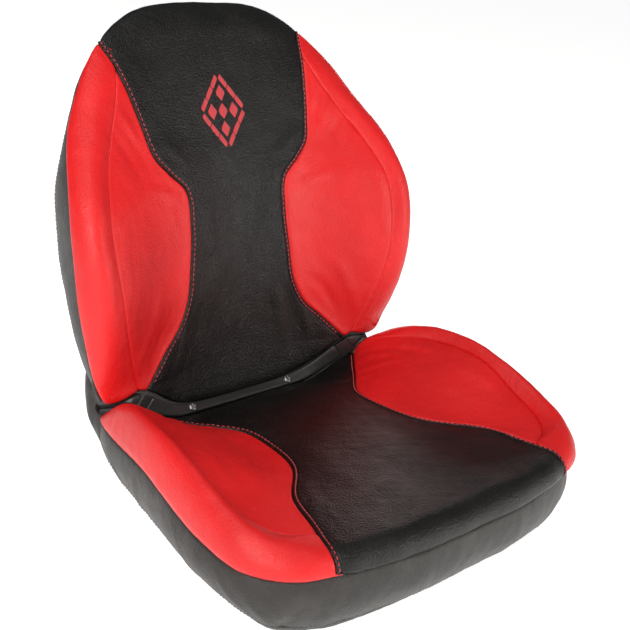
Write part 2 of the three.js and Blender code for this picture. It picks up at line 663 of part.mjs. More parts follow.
// foam: the closed-up patches on top, rings of the cover's own side and crease below, all set in by the
// depth of the cover, then the rings given for the underside
function foamSolid(surfaceOf, seams, ringAt, drops, underside, closing) {
  const patches = cushionPatches(seams, 0);
  const { center, inner, outer } = patches;
  const rim = rimOf(surfaceOf, seams, patches);
  const corner = last(outer[0]);
  const set = (p) => {
    const normal = surfaceOf.normal(p.x, p.y);
    const [angle, reach] = surfaceOf.face.unflat(p.x, p.y);
    if (reach > 1.97) normal.add(surfaceOf.radial(angle)).normalize();
    const hip = smoothstep(1 - Math.hypot(Math.abs(p.x) - corner.x, p.y - corner.y) / 45);
    return surfaceOf.point(p.x, p.y).addScaledVector(normal, -FOAM_DEPTH - 5 * hip);
  };
  const points = [];
  const index = [];
  const patchTriangles = (patch) => {
    const columns = patch[0].length;
    return patch.slice(0, -1).flatMap((row, i) => row.slice(0, -1).flatMap((_, j) => {
      const a = points.length + i * columns + j;
      return [a, a + columns, a + columns + 1, a, a + columns + 1, a + 1];
    }));
  };
  for (const patch of [center, inner, outer]) {
    index.push(...patchTriangles(patch));
    points.push(...patch.flat().map(set));
  }
  for (const patch of [inner, outer]) {
    index.push(...patchTriangles(patch).reverse());
    points.push(...patch.flat().map(set).map(mirrorPoint));
  }

  const nominal = [rim.map(({ flat }) => surfaceOf.point(flat.x, flat.y)),
    ...drops.map((drop) => rim.map((place) => ringAt(place, drop)))];
  const n = rim.length;
  const sides = nominal.slice(1).map((ring, r) => ring.map((p, k) => {
    const hip = smoothstep(1 - Math.abs(Math.abs(rim[k].angle) - seams.sideEnd) / 0.25);
    const depth = FOAM_DEPTH + (rim[k].share === undefined ? 2 : 2.8) + 2.2 * hip;
    const round = ring[(k + 1) % n].clone().sub(ring[(k + n - 1) % n]);
    const down = (nominal[r + 2] ?? ring)[k].clone().sub(nominal[r][k]);
    return p.clone().addScaledVector(round.cross(down).normalize(), surfaceOf.inward * depth);
  }));
  const rings = [rim.map(({ flat }) => set(flat)), ...sides, ...underside.map((at) => rim.map(at))];
  const first = points.length;
  points.push(...rings.flat(), closing);
  const at = (ring, k) => first + ring * n + (k % n);
  for (let k = 0; k < n; k += 1) {
    for (let r = 0; r < rings.length - 1; r += 1) {
      index.push(at(r, k), at(r, k + 1), at(r + 1, k + 1), at(r, k), at(r + 1, k + 1), at(r + 1, k));
    }
    index.push(at(rings.length - 1, k), at(rings.length - 1, k + 1), points.length - 1);
  }
  return weld(closedGeometry(points, index));
}

// shared corners become one, and triangles that have closed up go
function weld(geometry) {
  const merged = mergeVertices(geometry, 1e-4);
  const kept = [];
  const { array } = merged.index;
  for (let t = 0; t < array.length; t += 3) {
    const [a, b, c] = array.slice(t, t + 3);
    if (a !== b && b !== c && c !== a) kept.push(a, b, c);
  }
  merged.setIndex(kept);
  return merged;
}

const plateCurve = smoothCurve(plateOutline);
const plateAngles = plateCurve.map((p) => Math.atan2(p.x, SEAT_CENTRE - p.y));
const plateRadii = plateCurve.map((p) => Math.hypot(p.x, p.y - SEAT_CENTRE));

function plateAt(angle, grow, z) {
  const r = interpolate(Math.abs(angle), plateAngles, plateRadii) + grow;
  return vec(r * Math.sin(angle), SEAT_CENTRE - r * Math.cos(angle), z);
}

// between front and rear the pan's flange crosses from hanging down to standing up, and the foam rides over it
const overFlange = (angle) => 32 * isRear(angle) * (1 - isRear(angle));

// the foam's side of the crease, which draws back from the gussets at the hips; up is 1 for the back's foam
function creaseBed(share, t, up) {
  const hip = smoothstep((Math.abs(share) - 0.6) / 0.4);
  return creasePoint(share, t).add(vec(-10 * Math.sign(share) * hip, 4 * up * hip, 12 * up * hip));
}

function seatFoam() {
  const ringAt = ({ angle, share }, drop) => (share === undefined
    ? seatSide(angle, drop) : creaseBed(share, drop * SEAT_BED, -1));
  const underside = [
    ({ angle }) => seatBaseAt(angle, lerp(5, 12, isRear(angle)), 10 + overFlange(angle)),
    ({ angle }) => seatBaseAt(angle, 14, lerp(12, 8, isRear(angle)) + overFlange(angle)),
    ({ angle }) => plateAt(angle, lerp(1.5, -5, isRear(angle)), PLATE_Z + 1),
  ];
  return foamSolid(seatSurface, seatSeams, ringAt, seatDrops.slice(1), underside,
    vec(0, SEAT_CENTRE, PLATE_Z + 1));
}

// the back pan lies this far in front of the outside of the rear cover
const PAN_DEPTH = 12;
const PAN_ROOM = PAN_DEPTH + STEEL + 3;

function backFoam() {
  const ringAt = ({ angle, share }, depth) => (share === undefined
    ? backSide(angle, depth) : creaseBed(share, 1 - depth * BACK_BED, 1));
  const underside = [
    ({ angle }) => backRearAt(angle, backRearInset(angle) + 14, 20),
    ({ angle }) => backRearAt(angle, 60, PAN_ROOM),
    ({ angle }) => backRearAt(angle, 60 + (backFace.radius(angle) - 60) / 2, PAN_ROOM),
  ];
  return foamSolid(backSurface, backSeams, ringAt, [...backDepths.slice(1, -1), 0.85], underside,
    vec(0, backRearY(BACK_CENTRE) - PAN_ROOM, BACK_CENTRE));
}

// ---------------------------------------------------------------- pans, cover plate and straps
// a dish of even thickness: rings from the middle outwards on one side, and back on the other
function dish(middle, rings, thickness, side) {
  const closed = rings.map((ring) => [...ring, ring[0]]);
  const normals = closed.map((ring, r) => ring.map((p, k) => {
    const outermost = closed.length - 1;
    const out = closed[Math.min(r + 1, outermost)][k].clone().sub(r === 0 ? middle : closed[r - 1][k]);
    const round = ring[(k + 1) % (ring.length - 1)].clone().sub(ring[(k + ring.length - 2) % (ring.length - 1)]);
    return out.cross(round).normalize();
  }));
  const flip = normals[0][0].dot(side) < 0 ? -1 : 1;
  const back = rings.map((ring, r) => ring.map((p, k) => p.clone()
    .addScaledVector(normals[r][k], flip * thickness)));
  const middleBack = middle.clone().addScaledVector(side, thickness);
  return ringSolid(middle, [...rings, ...back.reverse()], middleBack);
}

// the strip bridges the crease: a chord across it, as long as the strip is wide there, raised clear
const STRIP = 2.2;
const CREASE_STEPS = 14;
const STRIP_STEPS = 11;       // of the crease's steps, how many the strip covers on each side
const stripWidth = profile([[0, 17.5], [85, 18.5], [100, 22], [118, 28], [138, 32], [155, 30], [166, 22], [174, 9]]);

function stripRow(share) {
  const width = stripWidth(Math.abs(creasePoint(share, 0.5).x));
  let spread = 0.05;
  const chord = () => creasePoint(share, 1 - spread).distanceTo(creasePoint(share, spread));
  while (spread < 0.45 && chord() > width) spread += 0.005;
  const [low, high] = [creasePoint(share, spread), creasePoint(share, 1 - spread)];
  const across = high.clone().sub(low).normalize();
  const out = vec(0, -across.z, across.y).normalize().multiplyScalar(STRIP + 1.5);
  return [low.add(out).addScaledVector(across, 2.5), high.add(out)];
}

const SCREW_X = 79;
const SHANK = 38;             // the strip's screws, below their seat
const CLIP_NUT = -32.5;
const screwShare = [...within(0.2, 0.6, 200)].find((share) => stripRow(share)[0].x >= SCREW_X);
const [screwLow, screwHigh] = stripRow(screwShare);
const screwSeat = screwLow.clone().add(screwHigh).multiplyScalar(0.5).setX(SCREW_X);
const screwAxis = vec(0, screwLow.z - screwHigh.z, screwHigh.y - screwLow.y).normalize();
const screwAt = (sign, along) => vec(sign * screwSeat.x, screwSeat.y, screwSeat.z)
  .addScaledVector(screwAxis, along);

const CHANNEL_X = 125;
const channelHoles = [-285, -60];
const channelRivets = [-240, -110];
const STRAP_X = 36;
const strapSeatBolts = [-95, -35];
const strapBackBolts = [150, 235];

function strapHoleAxis(z) {
  const slope = (backRearY(z + 5) - backRearY(z - 5)) / 10;
  return vec(0, 1, -slope).normalize();
}

// the rear wall of the pan stands up behind the crease, where the strip's screws go through it
const rimLift = (angle) => lerp(9, 7, isRear(angle)) + 15 * smoothstep((Math.abs(angle) - 2.45) / 0.2);

const RING = 48;
const ringOf = (at) => Array.from({ length: RING }, (_, k) => at((k / RING) * 2 * Math.PI - Math.PI));

function seatPan() {
  const inner = ringOf((angle) => plateAt(angle, -60, PLATE_Z));
  const edge = ringOf((angle) => plateAt(angle, 0, PLATE_Z));
  const rim = ringOf((angle) => seatBaseAt(angle, lerp(19, 3, isRear(angle)), rimLift(angle)));
  const tray = dish(vec(0, SEAT_CENTRE, PLATE_Z), [inner, edge, rim], STEEL, vec(0, 0, -1));
  const holes = both.flatMap(([, sign]) => [
    rod(screwAt(sign, -60), screwAt(sign, 0), 4),
    ...strapSeatBolts.map((y) => rod(vec(sign * STRAP_X, y, 0), vec(sign * STRAP_X, y, 60), 4.3)),
    ...channelRivets.map((y) => rod(vec(sign * (CHANNEL_X - 25), y, 20), vec(sign * (CHANNEL_X - 25), y, 40), 3.3)),
  ]);
  return cut(tray, holes);
}

function backPan() {
  const inner = ringOf((angle) => backRearAt(angle, 120, PAN_DEPTH + STEEL));
  const edge = ringOf((angle) => backRearAt(angle, 56, PAN_DEPTH + STEEL));
  const rim = ringOf((angle) => backRearAt(angle, 50, PAN_DEPTH + STEEL + 3));
  const middle = vec(0, backRearY(BACK_CENTRE) - PAN_DEPTH - STEEL, BACK_CENTRE);
  const tray = dish(middle, [inner, edge, rim], STEEL, vec(0, 1, 0));
  return cut(tray, both.flatMap(([, sign]) => strapBackBolts.map((z) => {
    const at = vec(sign * STRAP_X, backRearY(z), z);
    return rod(at.clone().addScaledVector(strapHoleAxis(z), -30), at, 4.3);
  })));
}

const rivetAngles = [0.75, 1.5, 2.3].flatMap((angle) => [angle, -angle]);

function rivetFrame(angle) {
  const at = backRearAt(angle, backRearInset(angle) + 22, 0);
  return { at, axis: strapHoleAxis(at.z) };
}

function rearCover() {
  const reach = [110, 62].map((inset) => ringOf((angle) => backRearAt(angle, inset, 0)));
  const edge = ringOf((angle) => backRearAt(angle, backRearInset(angle) + COVER + 1.5, 0.5));
  const cover = dish(vec(0, backRearY(BACK_CENTRE), BACK_CENTRE), [...reach, edge], COVER, vec(0, -1, 0));
  return cut(cover, rivetAngles.map((angle) => {
    const { at, axis } = rivetFrame(angle);
    return rod(at.clone().addScaledVector(axis, -8), at.clone().addScaledVector(axis, 8), 3);
  }));
}

function strap(sign) {
  const depth = PAN_DEPTH - GAP - STEEL;           // from the outside of the rear cover to the strap's middle
  const under = PLATE_Z - STEEL - GAP - STEEL;
  const route = [[-120, under], [-60, under], [0, under], [14, under], [22.5, under + 3], [25.5, under + 12]]
    .concat([60, 100, 150, 200, 255].map((z) => [backRearY(z) - depth, z]));
  const points = smoothCurve(route, 2);
  const frames = points.map((p, i) => {
    const ahead = points[Math.min(i + 1, points.length - 1)].clone();
    const along = ahead.sub(points[Math.max(i - 1, 0)]).normalize();
    return { origin: vec(sign * STRAP_X, p.x, p.y), across: vec(1, 0, 0), up: vec(0, -along.y, along.x) };
  });
  const section = [[-20, -STEEL], [20, -STEEL], [20, STEEL], [-20, STEEL]];
  const holes = strapSeatBolts.map((y) => rod(vec(sign * STRAP_X, y, 0), vec(sign * STRAP_X, y, 60), 4.3));
  for (const z of strapBackBolts) {
    const at = vec(sign * STRAP_X, backRearY(z), z);
    holes.push(rod(at.clone().addScaledVector(strapHoleAxis(z), -30), at, 4.3));
  }
  return cut(sweep(section, frames), holes);
}

// a hexagon-headed bolt: the head's seat is at `at`, and the shank runs down the axis
function hexBolt(at, axis, radius, length, headRadius, headHeight) {
  const head = rod(at, at.clone().addScaledVector(axis, headHeight), headRadius, 6);
  const shank = rod(at.clone().addScaledVector(axis, -length), at.clone().addScaledVector(axis, 1), radius);
  return join([head, shank]);
}

// ---------------------------------------------------------------- the crease between seat and back
const MESH_FABRIC = 1.4;
const creaseShares = [-0.935, ...within(1 - CREASE_STEPS, CREASE_STEPS - 1, 2 * CREASE_STEPS - 2)
  .map((k) => k / CREASE_STEPS), 0.935];
const bightGrid = creaseShares.map((share) => within(0.03, 0.97, 6).map((t) => creasePoint(share, t)));
const screwHoles = (radius) => both.map(([, sign]) => rod(screwAt(sign, -60), screwAt(sign, 30), radius));
add('bight_panel', 'mesh_fabric', cut(thicken(bightGrid, MESH_FABRIC, vec(0, 60, 0)), screwHoles(3.4)));

// the gusset closes the side of the seat behind the crease, from the side bands to the rear corner
function hipGusset(sign) {
  const count = 5;
  const front = within(0, 1, count).map((drop) => seatSide(SEAT_SIDE_END + 0.003, drop));
  const rear = within(0, 1, count).map((depth) => backSide(BACK_SIDE_END + 0.003, depth));
  const top = within(0, 1, count).map((t) => creasePoint(1, t));
  const bottom = evenly(smoothCurve([last(front), vec(206, 14, 88), vec(201, 38, 122), last(rear)]
    .map((p) => p.toArray())), count);
  const grid = coonsPatch(top, bottom, front, rear);
  const sided = sign > 0 ? grid : grid.map((row) => row.map(mirrorPoint));
  return thicken(sided, COVER * 0.7, vec(0, 20, 100));
}

add('bight_strip', 'black_plastic', cut(thicken(
  within(-STRIP_STEPS, STRIP_STEPS, 2 * STRIP_STEPS).map((k) => stripRow(k / CREASE_STEPS)), STRIP, vec(0, 60, 0)),
screwHoles(2.9)));

function panHeadScrew(sign) {
  const head = 2.8;
  const outline = [[0, -SHANK], [1.6, -SHANK], [2.4, 3 - SHANK], [2.4, head], [5.4, head], [5.4, head + 1.6],
    [4.5, head + 2.7], [2.2, head + 3.2], [0, head + 3.3]];
  const body = new THREE.LatheGeometry(outline.map(([r, h]) => new THREE.Vector2(r, h)), 12);
  const blade = (turned) => {
    const box = new THREE.BoxGeometry(turned ? 0.9 : 5, 2.4, turned ? 5 : 0.9);
    return box.translate(0, head + 3.2, 0);
  };
  const solid = cut(body, [blade(false), blade(true)]);
  solid.applyQuaternion(new THREE.Quaternion().setFromUnitVectors(vec(0, 1, 0), screwAxis));
  const at = screwAt(sign, 0);
  return solid.translate(at.x, at.y, at.z);
}

function clipNut(sign) {
  const at = screwAt(sign, CLIP_NUT);
  const ring = rod(at, at.clone().addScaledVector(screwAxis, -4), 6.5, 6);
  return cut(ring, [rod(screwAt(sign, -60), screwAt(sign, 30), 2.7)]);
}

// ---------------------------------------------------------------- placing everything
add('seat_foam', 'foam', cut(seatFoam(), screwHoles(8)));
add('back_foam', 'foam', backFoam());
add('seat_pan', 'painted_steel', seatPan());
add('back_pan', 'painted_steel', backPan());
add('back_rear_cover', 'black_vinyl', rearCover());

for (const [side, sign] of both) {
  add(`${side}_hip_gusset`, 'black_vinyl', hipGusset(sign));
  add(`${side}_bight_screw`, 'zinc', panHeadScrew(sign));
  add(`${side}_clip_nut`, 'zinc', clipNut(sign));
  add(`${side}_back_strap`, 'painted_steel', strap(sign));
  const strapUnder = PLATE_Z - 3 * STEEL - 2 * GAP;
  strapSeatBolts.forEach((y, i) => add(`${side}_seat_strap_bolt_${i + 1}`, 'zinc',
    hexBolt(vec(sign * STRAP_X, y, strapUnder), vec(0, 0, -1), 4, 6.4, 7, 4)));
  strapBackBolts.forEach((z, i) => {
    const axis = strapHoleAxis(z);
    const at = vec(sign * STRAP_X, backRearY(z), z).addScaledVector(axis, 2 * GAP - PAN_DEPTH + 2 * STEEL);
    add(`${side}_back_strap_bolt_${i + 1}`, 'zinc', hexBolt(at, axis, 4, 6.8, 7, 4));
  });
}

rivetAngles.forEach((angle, i) => {
  const { at, axis } = rivetFrame(angle);
  const head = rod(at.clone().addScaledVector(axis, 1.2), at.clone().addScaledVector(axis, 3), 7, 10);
  const stem = rod(at.clone().addScaledVector(axis, -7), at.clone().addScaledVector(axis, 2), 2.5, 6);
  add(`cover_push_rivet_${i + 1}`, 'black_plastic', join([head, stem]));
});

// the apron is the tail of the cover, closing the rear between the rear cover and the seat pan
function apron() {
  const grid = [];
  for (const v of steps(4)) {
    grid.push(within(-1, 1, 6).map((u) => vec(u * lerp(150, 140, v), lerp(48, 42, v) - 3 * u * u,
      lerp(106, 36, v) + 10 * u * u)));
  }
  return thicken(grid, COVER * 0.7, vec(0, -100, 70));
}
add('rear_apron', 'black_vinyl', apron());

// a hat-section channel under the pan, with mounting holes in its foot
function mountingChannel(sign) {
  const top = PLATE_Z - STEEL - GAP;
  const section = [[-20, 0], [20, 0], [20, top - STEEL], [30, top - STEEL], [30, top], [18, top],
    [18, STEEL], [-18, STEEL], [-18, top], [-30, top], [-30, top - STEEL], [-20, top - STEEL]];
  const frames = [-315, -20].map((y) => ({
    origin: vec(sign * CHANNEL_X, y, 0), across: vec(1, 0, 0), up: vec(0, 0, 1),
  }));
  const holes = channelHoles.map((y) => rod(vec(sign * CHANNEL_X, y, -5), vec(sign * CHANNEL_X, y, 8), 4.5, 12));
  const inner = sign * (CHANNEL_X - 25);
  channelRivets.forEach((y) => holes.push(rod(vec(inner, y, 20), vec(inner, y, 40), 3.3)));
  return cut(sweep(section, frames), holes);
}

for (const [side, sign] of both) {
  add(`${side}_mounting_channel`, 'painted_steel', mountingChannel(sign));
  channelHoles.forEach((y, i) => {
    const at = vec(sign * CHANNEL_X, y, STEEL + GAP);
    const nut = rod(at, at.clone().setZ(at.z + 7), 7.5, 6);
    add(`${side}_weld_nut_${i + 1}`, 'zinc', cut(nut, [rod(vec(at.x, at.y, 0), vec(at.x, at.y, 20), 4)]));
  });
  channelRivets.forEach((y, i) => {
    const under = PLATE_Z - 2 * STEEL - 2 * GAP;
    const head = rod(vec(sign * (CHANNEL_X - 25), y, under - 2), vec(sign * (CHANNEL_X - 25), y, under), 5);
    const stem = rod(vec(sign * (CHANNEL_X - 25), y, under - 1), vec(sign * (CHANNEL_X - 25), y, PLATE_Z + 0.5), 3);
    add(`${side}_channel_rivet_${i + 1}`, 'zinc', join([head, stem]));
  });
}

// the hook profile grips the pan's rim and holds the turned hem
function hemChannel() {
  const end = SEAT_SIDE_END - 0.55;
  const section = [[15.6, 5.2], [26, 5.2], [26, 9.2], [24.8, 9.2], [24.8, 6.4], [16.8, 6.4], [16.8, 10.4],
    [15.6, 10.4]];
  const frames = within(-end, end, 26).map((angle) => {
    return { origin: seatBaseAt(angle), across: vec(-Math.sin(angle), Math.cos(angle), 0), up: vec(0, 0, 1) };
  });
  return sweep(section, frames);
}
add('seat_hem_channel', 'black_plastic', hemChannel());

// a lozenge-shaped embroidered patch, lying on the back's centre panel
function emblem() {
  const [halfWidth, halfHeight, middle, raise] = [30, 36, 421, 1];
  const count = 5;
  const grid = [];
  const normals = [];
  for (let i = 0; i <= count; i += 1) {
    const row = [];
    const out = [];
    for (let j = 0; j <= count; j += 1) {
      const x = ((i - j) / count) * halfWidth;
      const z = middle + ((i + j) / count - 1) * halfHeight;
      const normal = backSurface.normal(x, -z);
      row.push(backSurface.point(x, -z).addScaledVector(normal, raise));
      out.push(normal);
    }
    grid.push(row);
    normals.push(out);
  }
  return sheet(grid, normals, raise - GAP);
}
add('back_emblem', 'red_thread', emblem());

// origin at the middle of the footprint
const box = new THREE.Box3().setFromObject(part);
layout.position.y = -(box.min.y + box.max.y) / 2;
layout.position.z = -box.min.z;
part.updateMatrixWorld(true);

export default part;
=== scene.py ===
"""An upholstered bucket seat: sewn vinyl panels over foam, a moulded strip screwed into the crease,
steel pans, straps and channels behind and below. Shapes are laid out in millimetres with y = 0 at the
crease between seat and back, and moved into the frame's metres when a piece is made."""
import json
import math

import bpy
import numpy as np
from mathutils import Matrix, Vector
from mathutils.bvhtree import BVHTree


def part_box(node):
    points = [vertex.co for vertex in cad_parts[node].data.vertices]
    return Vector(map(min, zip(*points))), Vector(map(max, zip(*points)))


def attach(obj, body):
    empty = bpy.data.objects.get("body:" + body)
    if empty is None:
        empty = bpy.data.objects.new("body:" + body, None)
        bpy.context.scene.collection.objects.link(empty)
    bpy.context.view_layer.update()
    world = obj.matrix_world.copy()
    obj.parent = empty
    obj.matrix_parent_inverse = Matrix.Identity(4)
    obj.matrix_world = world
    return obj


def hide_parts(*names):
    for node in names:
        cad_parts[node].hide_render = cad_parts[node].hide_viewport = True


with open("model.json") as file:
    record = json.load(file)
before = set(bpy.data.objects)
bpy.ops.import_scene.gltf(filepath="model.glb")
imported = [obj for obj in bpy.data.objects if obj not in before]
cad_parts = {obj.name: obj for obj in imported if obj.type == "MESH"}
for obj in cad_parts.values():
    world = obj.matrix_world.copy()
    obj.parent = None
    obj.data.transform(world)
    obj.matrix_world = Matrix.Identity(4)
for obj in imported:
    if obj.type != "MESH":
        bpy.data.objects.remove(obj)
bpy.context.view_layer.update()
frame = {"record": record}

# ---- place and scale
MM = 0.001
CHANNEL_FRONT = -315.0
CREASE_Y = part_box("left_mounting_channel")[0][1] - CHANNEL_FRONT * MM
SEAT_CENTRE = -190.0
BACK_CENTRE = 310.0
SEAT_SIDE_END = math.radians(129)
BACK_SIDE_END = math.radians(130)
HEM_DROP = 0.87
HEM_TURN = 13.0
WELT = 5.0                 # from the insert seam to its row of topstitching
EDGE_REACH = 2.0           # the reach at a face's edge seam; its top ends at 1
PANEL_ROWS, BOLSTER_ROWS = 170, 120
CENTER_COLUMNS, BOLSTER_COLUMNS = 110, 46
SIDES = (("left", 1), ("right", -1))

# outlines and seams: (across, along) for the seat, (across, up) for the back; the base is the pan's rim,
# (across, along, up)

SEAT_OUTLINE = [(0, -392), (100, -389), (172, -378), (226, -355), (254, -316), (260, -262), (257, -200),
                (247, -130), (233, -66), (218, -20), (204, 0), (180, 8), (100, 8), (0, 8)]
SEAT_INSERT = [(177, -22), (134, -71), (96, -118), (93, -165), (105, -218), (150, -272), (168, -322),
               (180, -357), (184, -384)]
SEAT_CREST = [(182, -34), (208, -88), (223, -130), (231, -180), (229, -245), (222, -290), (203, -320),
              (174, -334)]
SEAT_BASE = [(0, -367, 7), (110, -364, 7), (178, -353, 8), (216, -328, 9), (222, -290, 9), (213, -205, 5.5),
             (208, -150, 11), (208, -100, 24), (208, -50, 40), (206, -15, 56), (200, 8, 68), (180, 18, 60),
             (140, 22, 46), (70, 22, 38), (0, 22, 38)]
BACK_OUTLINE = [(0, 536), (70, 532), (112, 520), (150, 498), (184, 464), (215, 420), (237, 376), (247, 335),
                (249, 290), (246, 240), (237, 190), (225, 148), (211, 124), (185, 109), (110, 78), (0, 72)]
BACK_INSERT = [(157, 128), (124, 160), (98, 184), (83, 215), (77, 255), (73, 300), (76, 340), (98, 362),
               (116, 382), (124, 410), (133, 450), (142, 482), (150, 500)]
BACK_CREST = [(170, 132), (188, 180), (200, 222), (207, 262), (211, 300), (209, 338), (194, 378),
              (171, 416), (152, 448), (141, 474)]


# ---- curves
def unit(v):
    return v / np.linalg.norm(v, axis=-1, keepdims=True)


def lengths_along(p, axis=0):
    """The length run so far at each point of a polyline, or of a grid's rows or columns."""
    return np.insert(np.cumsum(np.linalg.norm(np.diff(p, axis=axis), axis=-1), axis=axis), 0, 0, axis)


def smoothstep(t):
    t = np.clip(t, 0, 1)
    return t * t * (3 - 2 * t)


def smooth_curve(points, steps=12):
    """A centripetal Catmull-Rom curve through the points."""
    p = np.array([tuple(q) + (0,) * (3 - len(q)) for q in points], float)
    p = np.vstack([2 * p[0] - p[1], p, 2 * p[-1] - p[-2]])
    gaps = np.maximum(np.linalg.norm(np.diff(p, axis=0), axis=1), 1e-9) ** 0.5
    t = np.linspace(0, 1, steps, endpoint=False)[:, None]
    out = []
    for i in range(1, len(p) - 2):
        a, b, c = gaps[i - 1:i + 2]
        p0, p1, p2, p3 = p[i - 1:i + 3]
        t1 = ((p1 - p0) / a - (p2 - p0) / (a + b) + (p2 - p1) / b) * b
        t2 = ((p2 - p1) / b - (p3 - p1) / (b + c) + (p3 - p2) / c) * b
        c2 = -3 * p1 + 3 * p2 - 2 * t1 - t2
        c3 = 2 * p1 - 2 * p2 + t1 + t2
        out.append(p1 + t1 * t + c2 * t ** 2 + c3 * t ** 3)
    return np.vstack([*out, p[-2][None]])


def profile(pairs):
    """A smooth function of one value through (value, result) pairs."""
    curve = smooth_curve(sorted(pairs))
    return lambda v: np.interp(v, curve[:, 0], curve[:, 1])


def along(curve, fractions):
    """Points at fractions of a polyline's length."""
    lengths = lengths_along(curve)
    at = np.asarray(fractions) * lengths[-1]
    return np.stack([np.interp(at, lengths, curve[:, k]) for k in range(curve.shape[1])], -1)


def even(count):
    return np.linspace(0, 1, count + 1)


def crowded(count):
    """Fractions that crowd together at both ends, where the seams need fine steps."""
    return (1 - np.cos(np.pi * even(count))) / 2


# ---- cushion faces
class CushionFace:
    """A cushion seen square on: plan (p, q) with a height over it, and an edge of radius roll that turns
    through tuck and draws in by inset on its way down to the edge seam. A place is (angle, reach), and
    laid flat it is (X, Y), with the rolled edge band wide."""

    def __init__(self, centre, outline, top, edge, roll, tuck, inset, band):
        self.centre, self.top, self.edge = centre, top, edge
        self.roll, self.tuck, self.inset, self.band = roll, tuck, inset, band
        curve = smooth_curve(outline, 24)
        self.angles = np.arctan2(curve[:, 0], centre - curve[:, 1])
        self.radii = np.hypot(curve[:, 0], curve[:, 1] - centre)

    def radius(self, angle):
        return np.interp(np.abs(angle), self.angles, self.radii)

    def place(self, angle, reach):
        full = self.radius(angle)
        start = full - self.roll
        phi = np.clip(reach - 1, 0, 1) * self.tuck
        late = np.clip((phi - np.pi / 2) / (self.tuck - np.pi / 2), 0, 1)
        rolled = start + self.roll * np.sin(np.minimum(phi, np.pi / 2))
        rho = np.where(reach <= 1, start * reach, rolled)
        c, s = np.cos(angle), np.sin(angle)
        edge = self.edge(full * s, self.centre - full * c)
        top = self.top(rho * s, self.centre - rho * c)
        rho = rho - self.inset(angle) * late ** 1.5
        k = (np.cos(phi) - math.cos(self.tuck)) / (1 - math.cos(self.tuck))
        return np.stack([rho * s, self.centre - rho * c, edge + (top - edge) * k], -1)

    def flat(self, angle, reach):
        start = self.radius(angle) - self.roll
        r = np.where(reach <= 1, start * reach, start + (reach - 1) * self.band)
        return np.stack([r * np.sin(angle), self.centre - r * np.cos(angle)], -1)

    def unflat(self, flat):
        angle = np.arctan2(flat[..., 0], self.centre - flat[..., 1])
        r = np.hypot(flat[..., 0], flat[..., 1] - self.centre)
        start = self.radius(angle) - self.roll
        return angle, np.where(r <= start, r / start, 1 + (r - start) / self.band)

    def flat_from_plan(self, plan):
        angle = np.arctan2(plan[:, 0], self.centre - plan[:, 1])
        r = np.hypot(plan[:, 0], plan[:, 1] - self.centre)
        start = self.radius(angle) - self.roll
        rolled = 1 + np.arcsin(np.clip((r - start) / self.roll, 0, 1)) / self.tuck
        return self.flat(angle, np.where(r <= start, r / start, rolled))


def bolster(x, insert, crest, outer, crest_height, outer_height):
    """The rise from the insert seam to the crest seam, and on from there to the outer edge."""
    climb = np.clip((x - insert) / (crest - insert), 0, 1)
    swell = np.sin(np.clip((x - crest) / (outer - crest), 0, 1) * np.pi / 2)
    return crest_height * (climb ** 2 * (2 - climb)) + (outer_height - crest_height) * swell


def width_along(points):
    return profile([(q, p) for p, q in points])


seat_insert_at = width_along(SEAT_INSERT)
seat_crest_at = width_along(SEAT_CREST)
seat_width_at = width_along(SEAT_OUTLINE[4:10])
seat_middle_z = profile([(-420, 104), (-392, 105), (-330, 107), (-250, 107), (-180, 105), (-120, 102),
                         (-70, 94), (-30, 79), (-12, 71.5), (0, 67), (12, 65)])
seat_trough = profile([(-420, 0), (-300, 1), (-200, 3), (-120, 6), (-70, 15), (-22, 27), (0, 33), (12, 34)])
seat_crest_rise = profile([(-420, 0), (-345, 0), (-320, 1), (-290, 6), (-250, 16), (-215, 30), (-180, 38),
                           (-130, 38), (-90, 32), (-50, 22), (-20, 13), (0, 6), (12, 4)])
seat_outer_rise = profile([(-420, 0), (-375, 0), (-330, 8), (-290, 22), (-250, 39), (-205, 53), (-170, 63),
                           (-120, 62), (-87, 50), (-50, 31), (-20, 13), (0, 6), (12, 4)])
seat_edge_z = profile([(-420, 80), (-390, 80), (-330, 77), (-250, 82), (-200, 90), (-150, 99), (-110, 103),
                       (-60, 103), (-20, 101), (12, 101)])


def crease_z(x):
    return 57 + 44 * smoothstep((np.abs(x) - 88) / 110)


def seat_top(x, y):
    across = np.abs(x)
    insert = seat_insert_at(y)
    crest = np.maximum(seat_crest_at(y), insert + 4)
    outer = np.maximum(seat_width_at(y) - 6, crest + 10)
    rise = bolster(across, insert, crest, outer, seat_crest_rise(y), seat_outer_rise(y))
    return seat_middle_z(y) + seat_trough(y) * smoothstep((across - 90) / 100) + rise


def seat_edge(x, y):
    k = smoothstep((y + 14) / 16)
    return seat_edge_z(y) * (1 - k) + crease_z(x) * k


def seat_inset(angle):
    a = np.abs(angle)
    return 2 + 9 * smoothstep((a - 0.3) / 0.6) * (1 - smoothstep((a - 1.7) / 0.5))


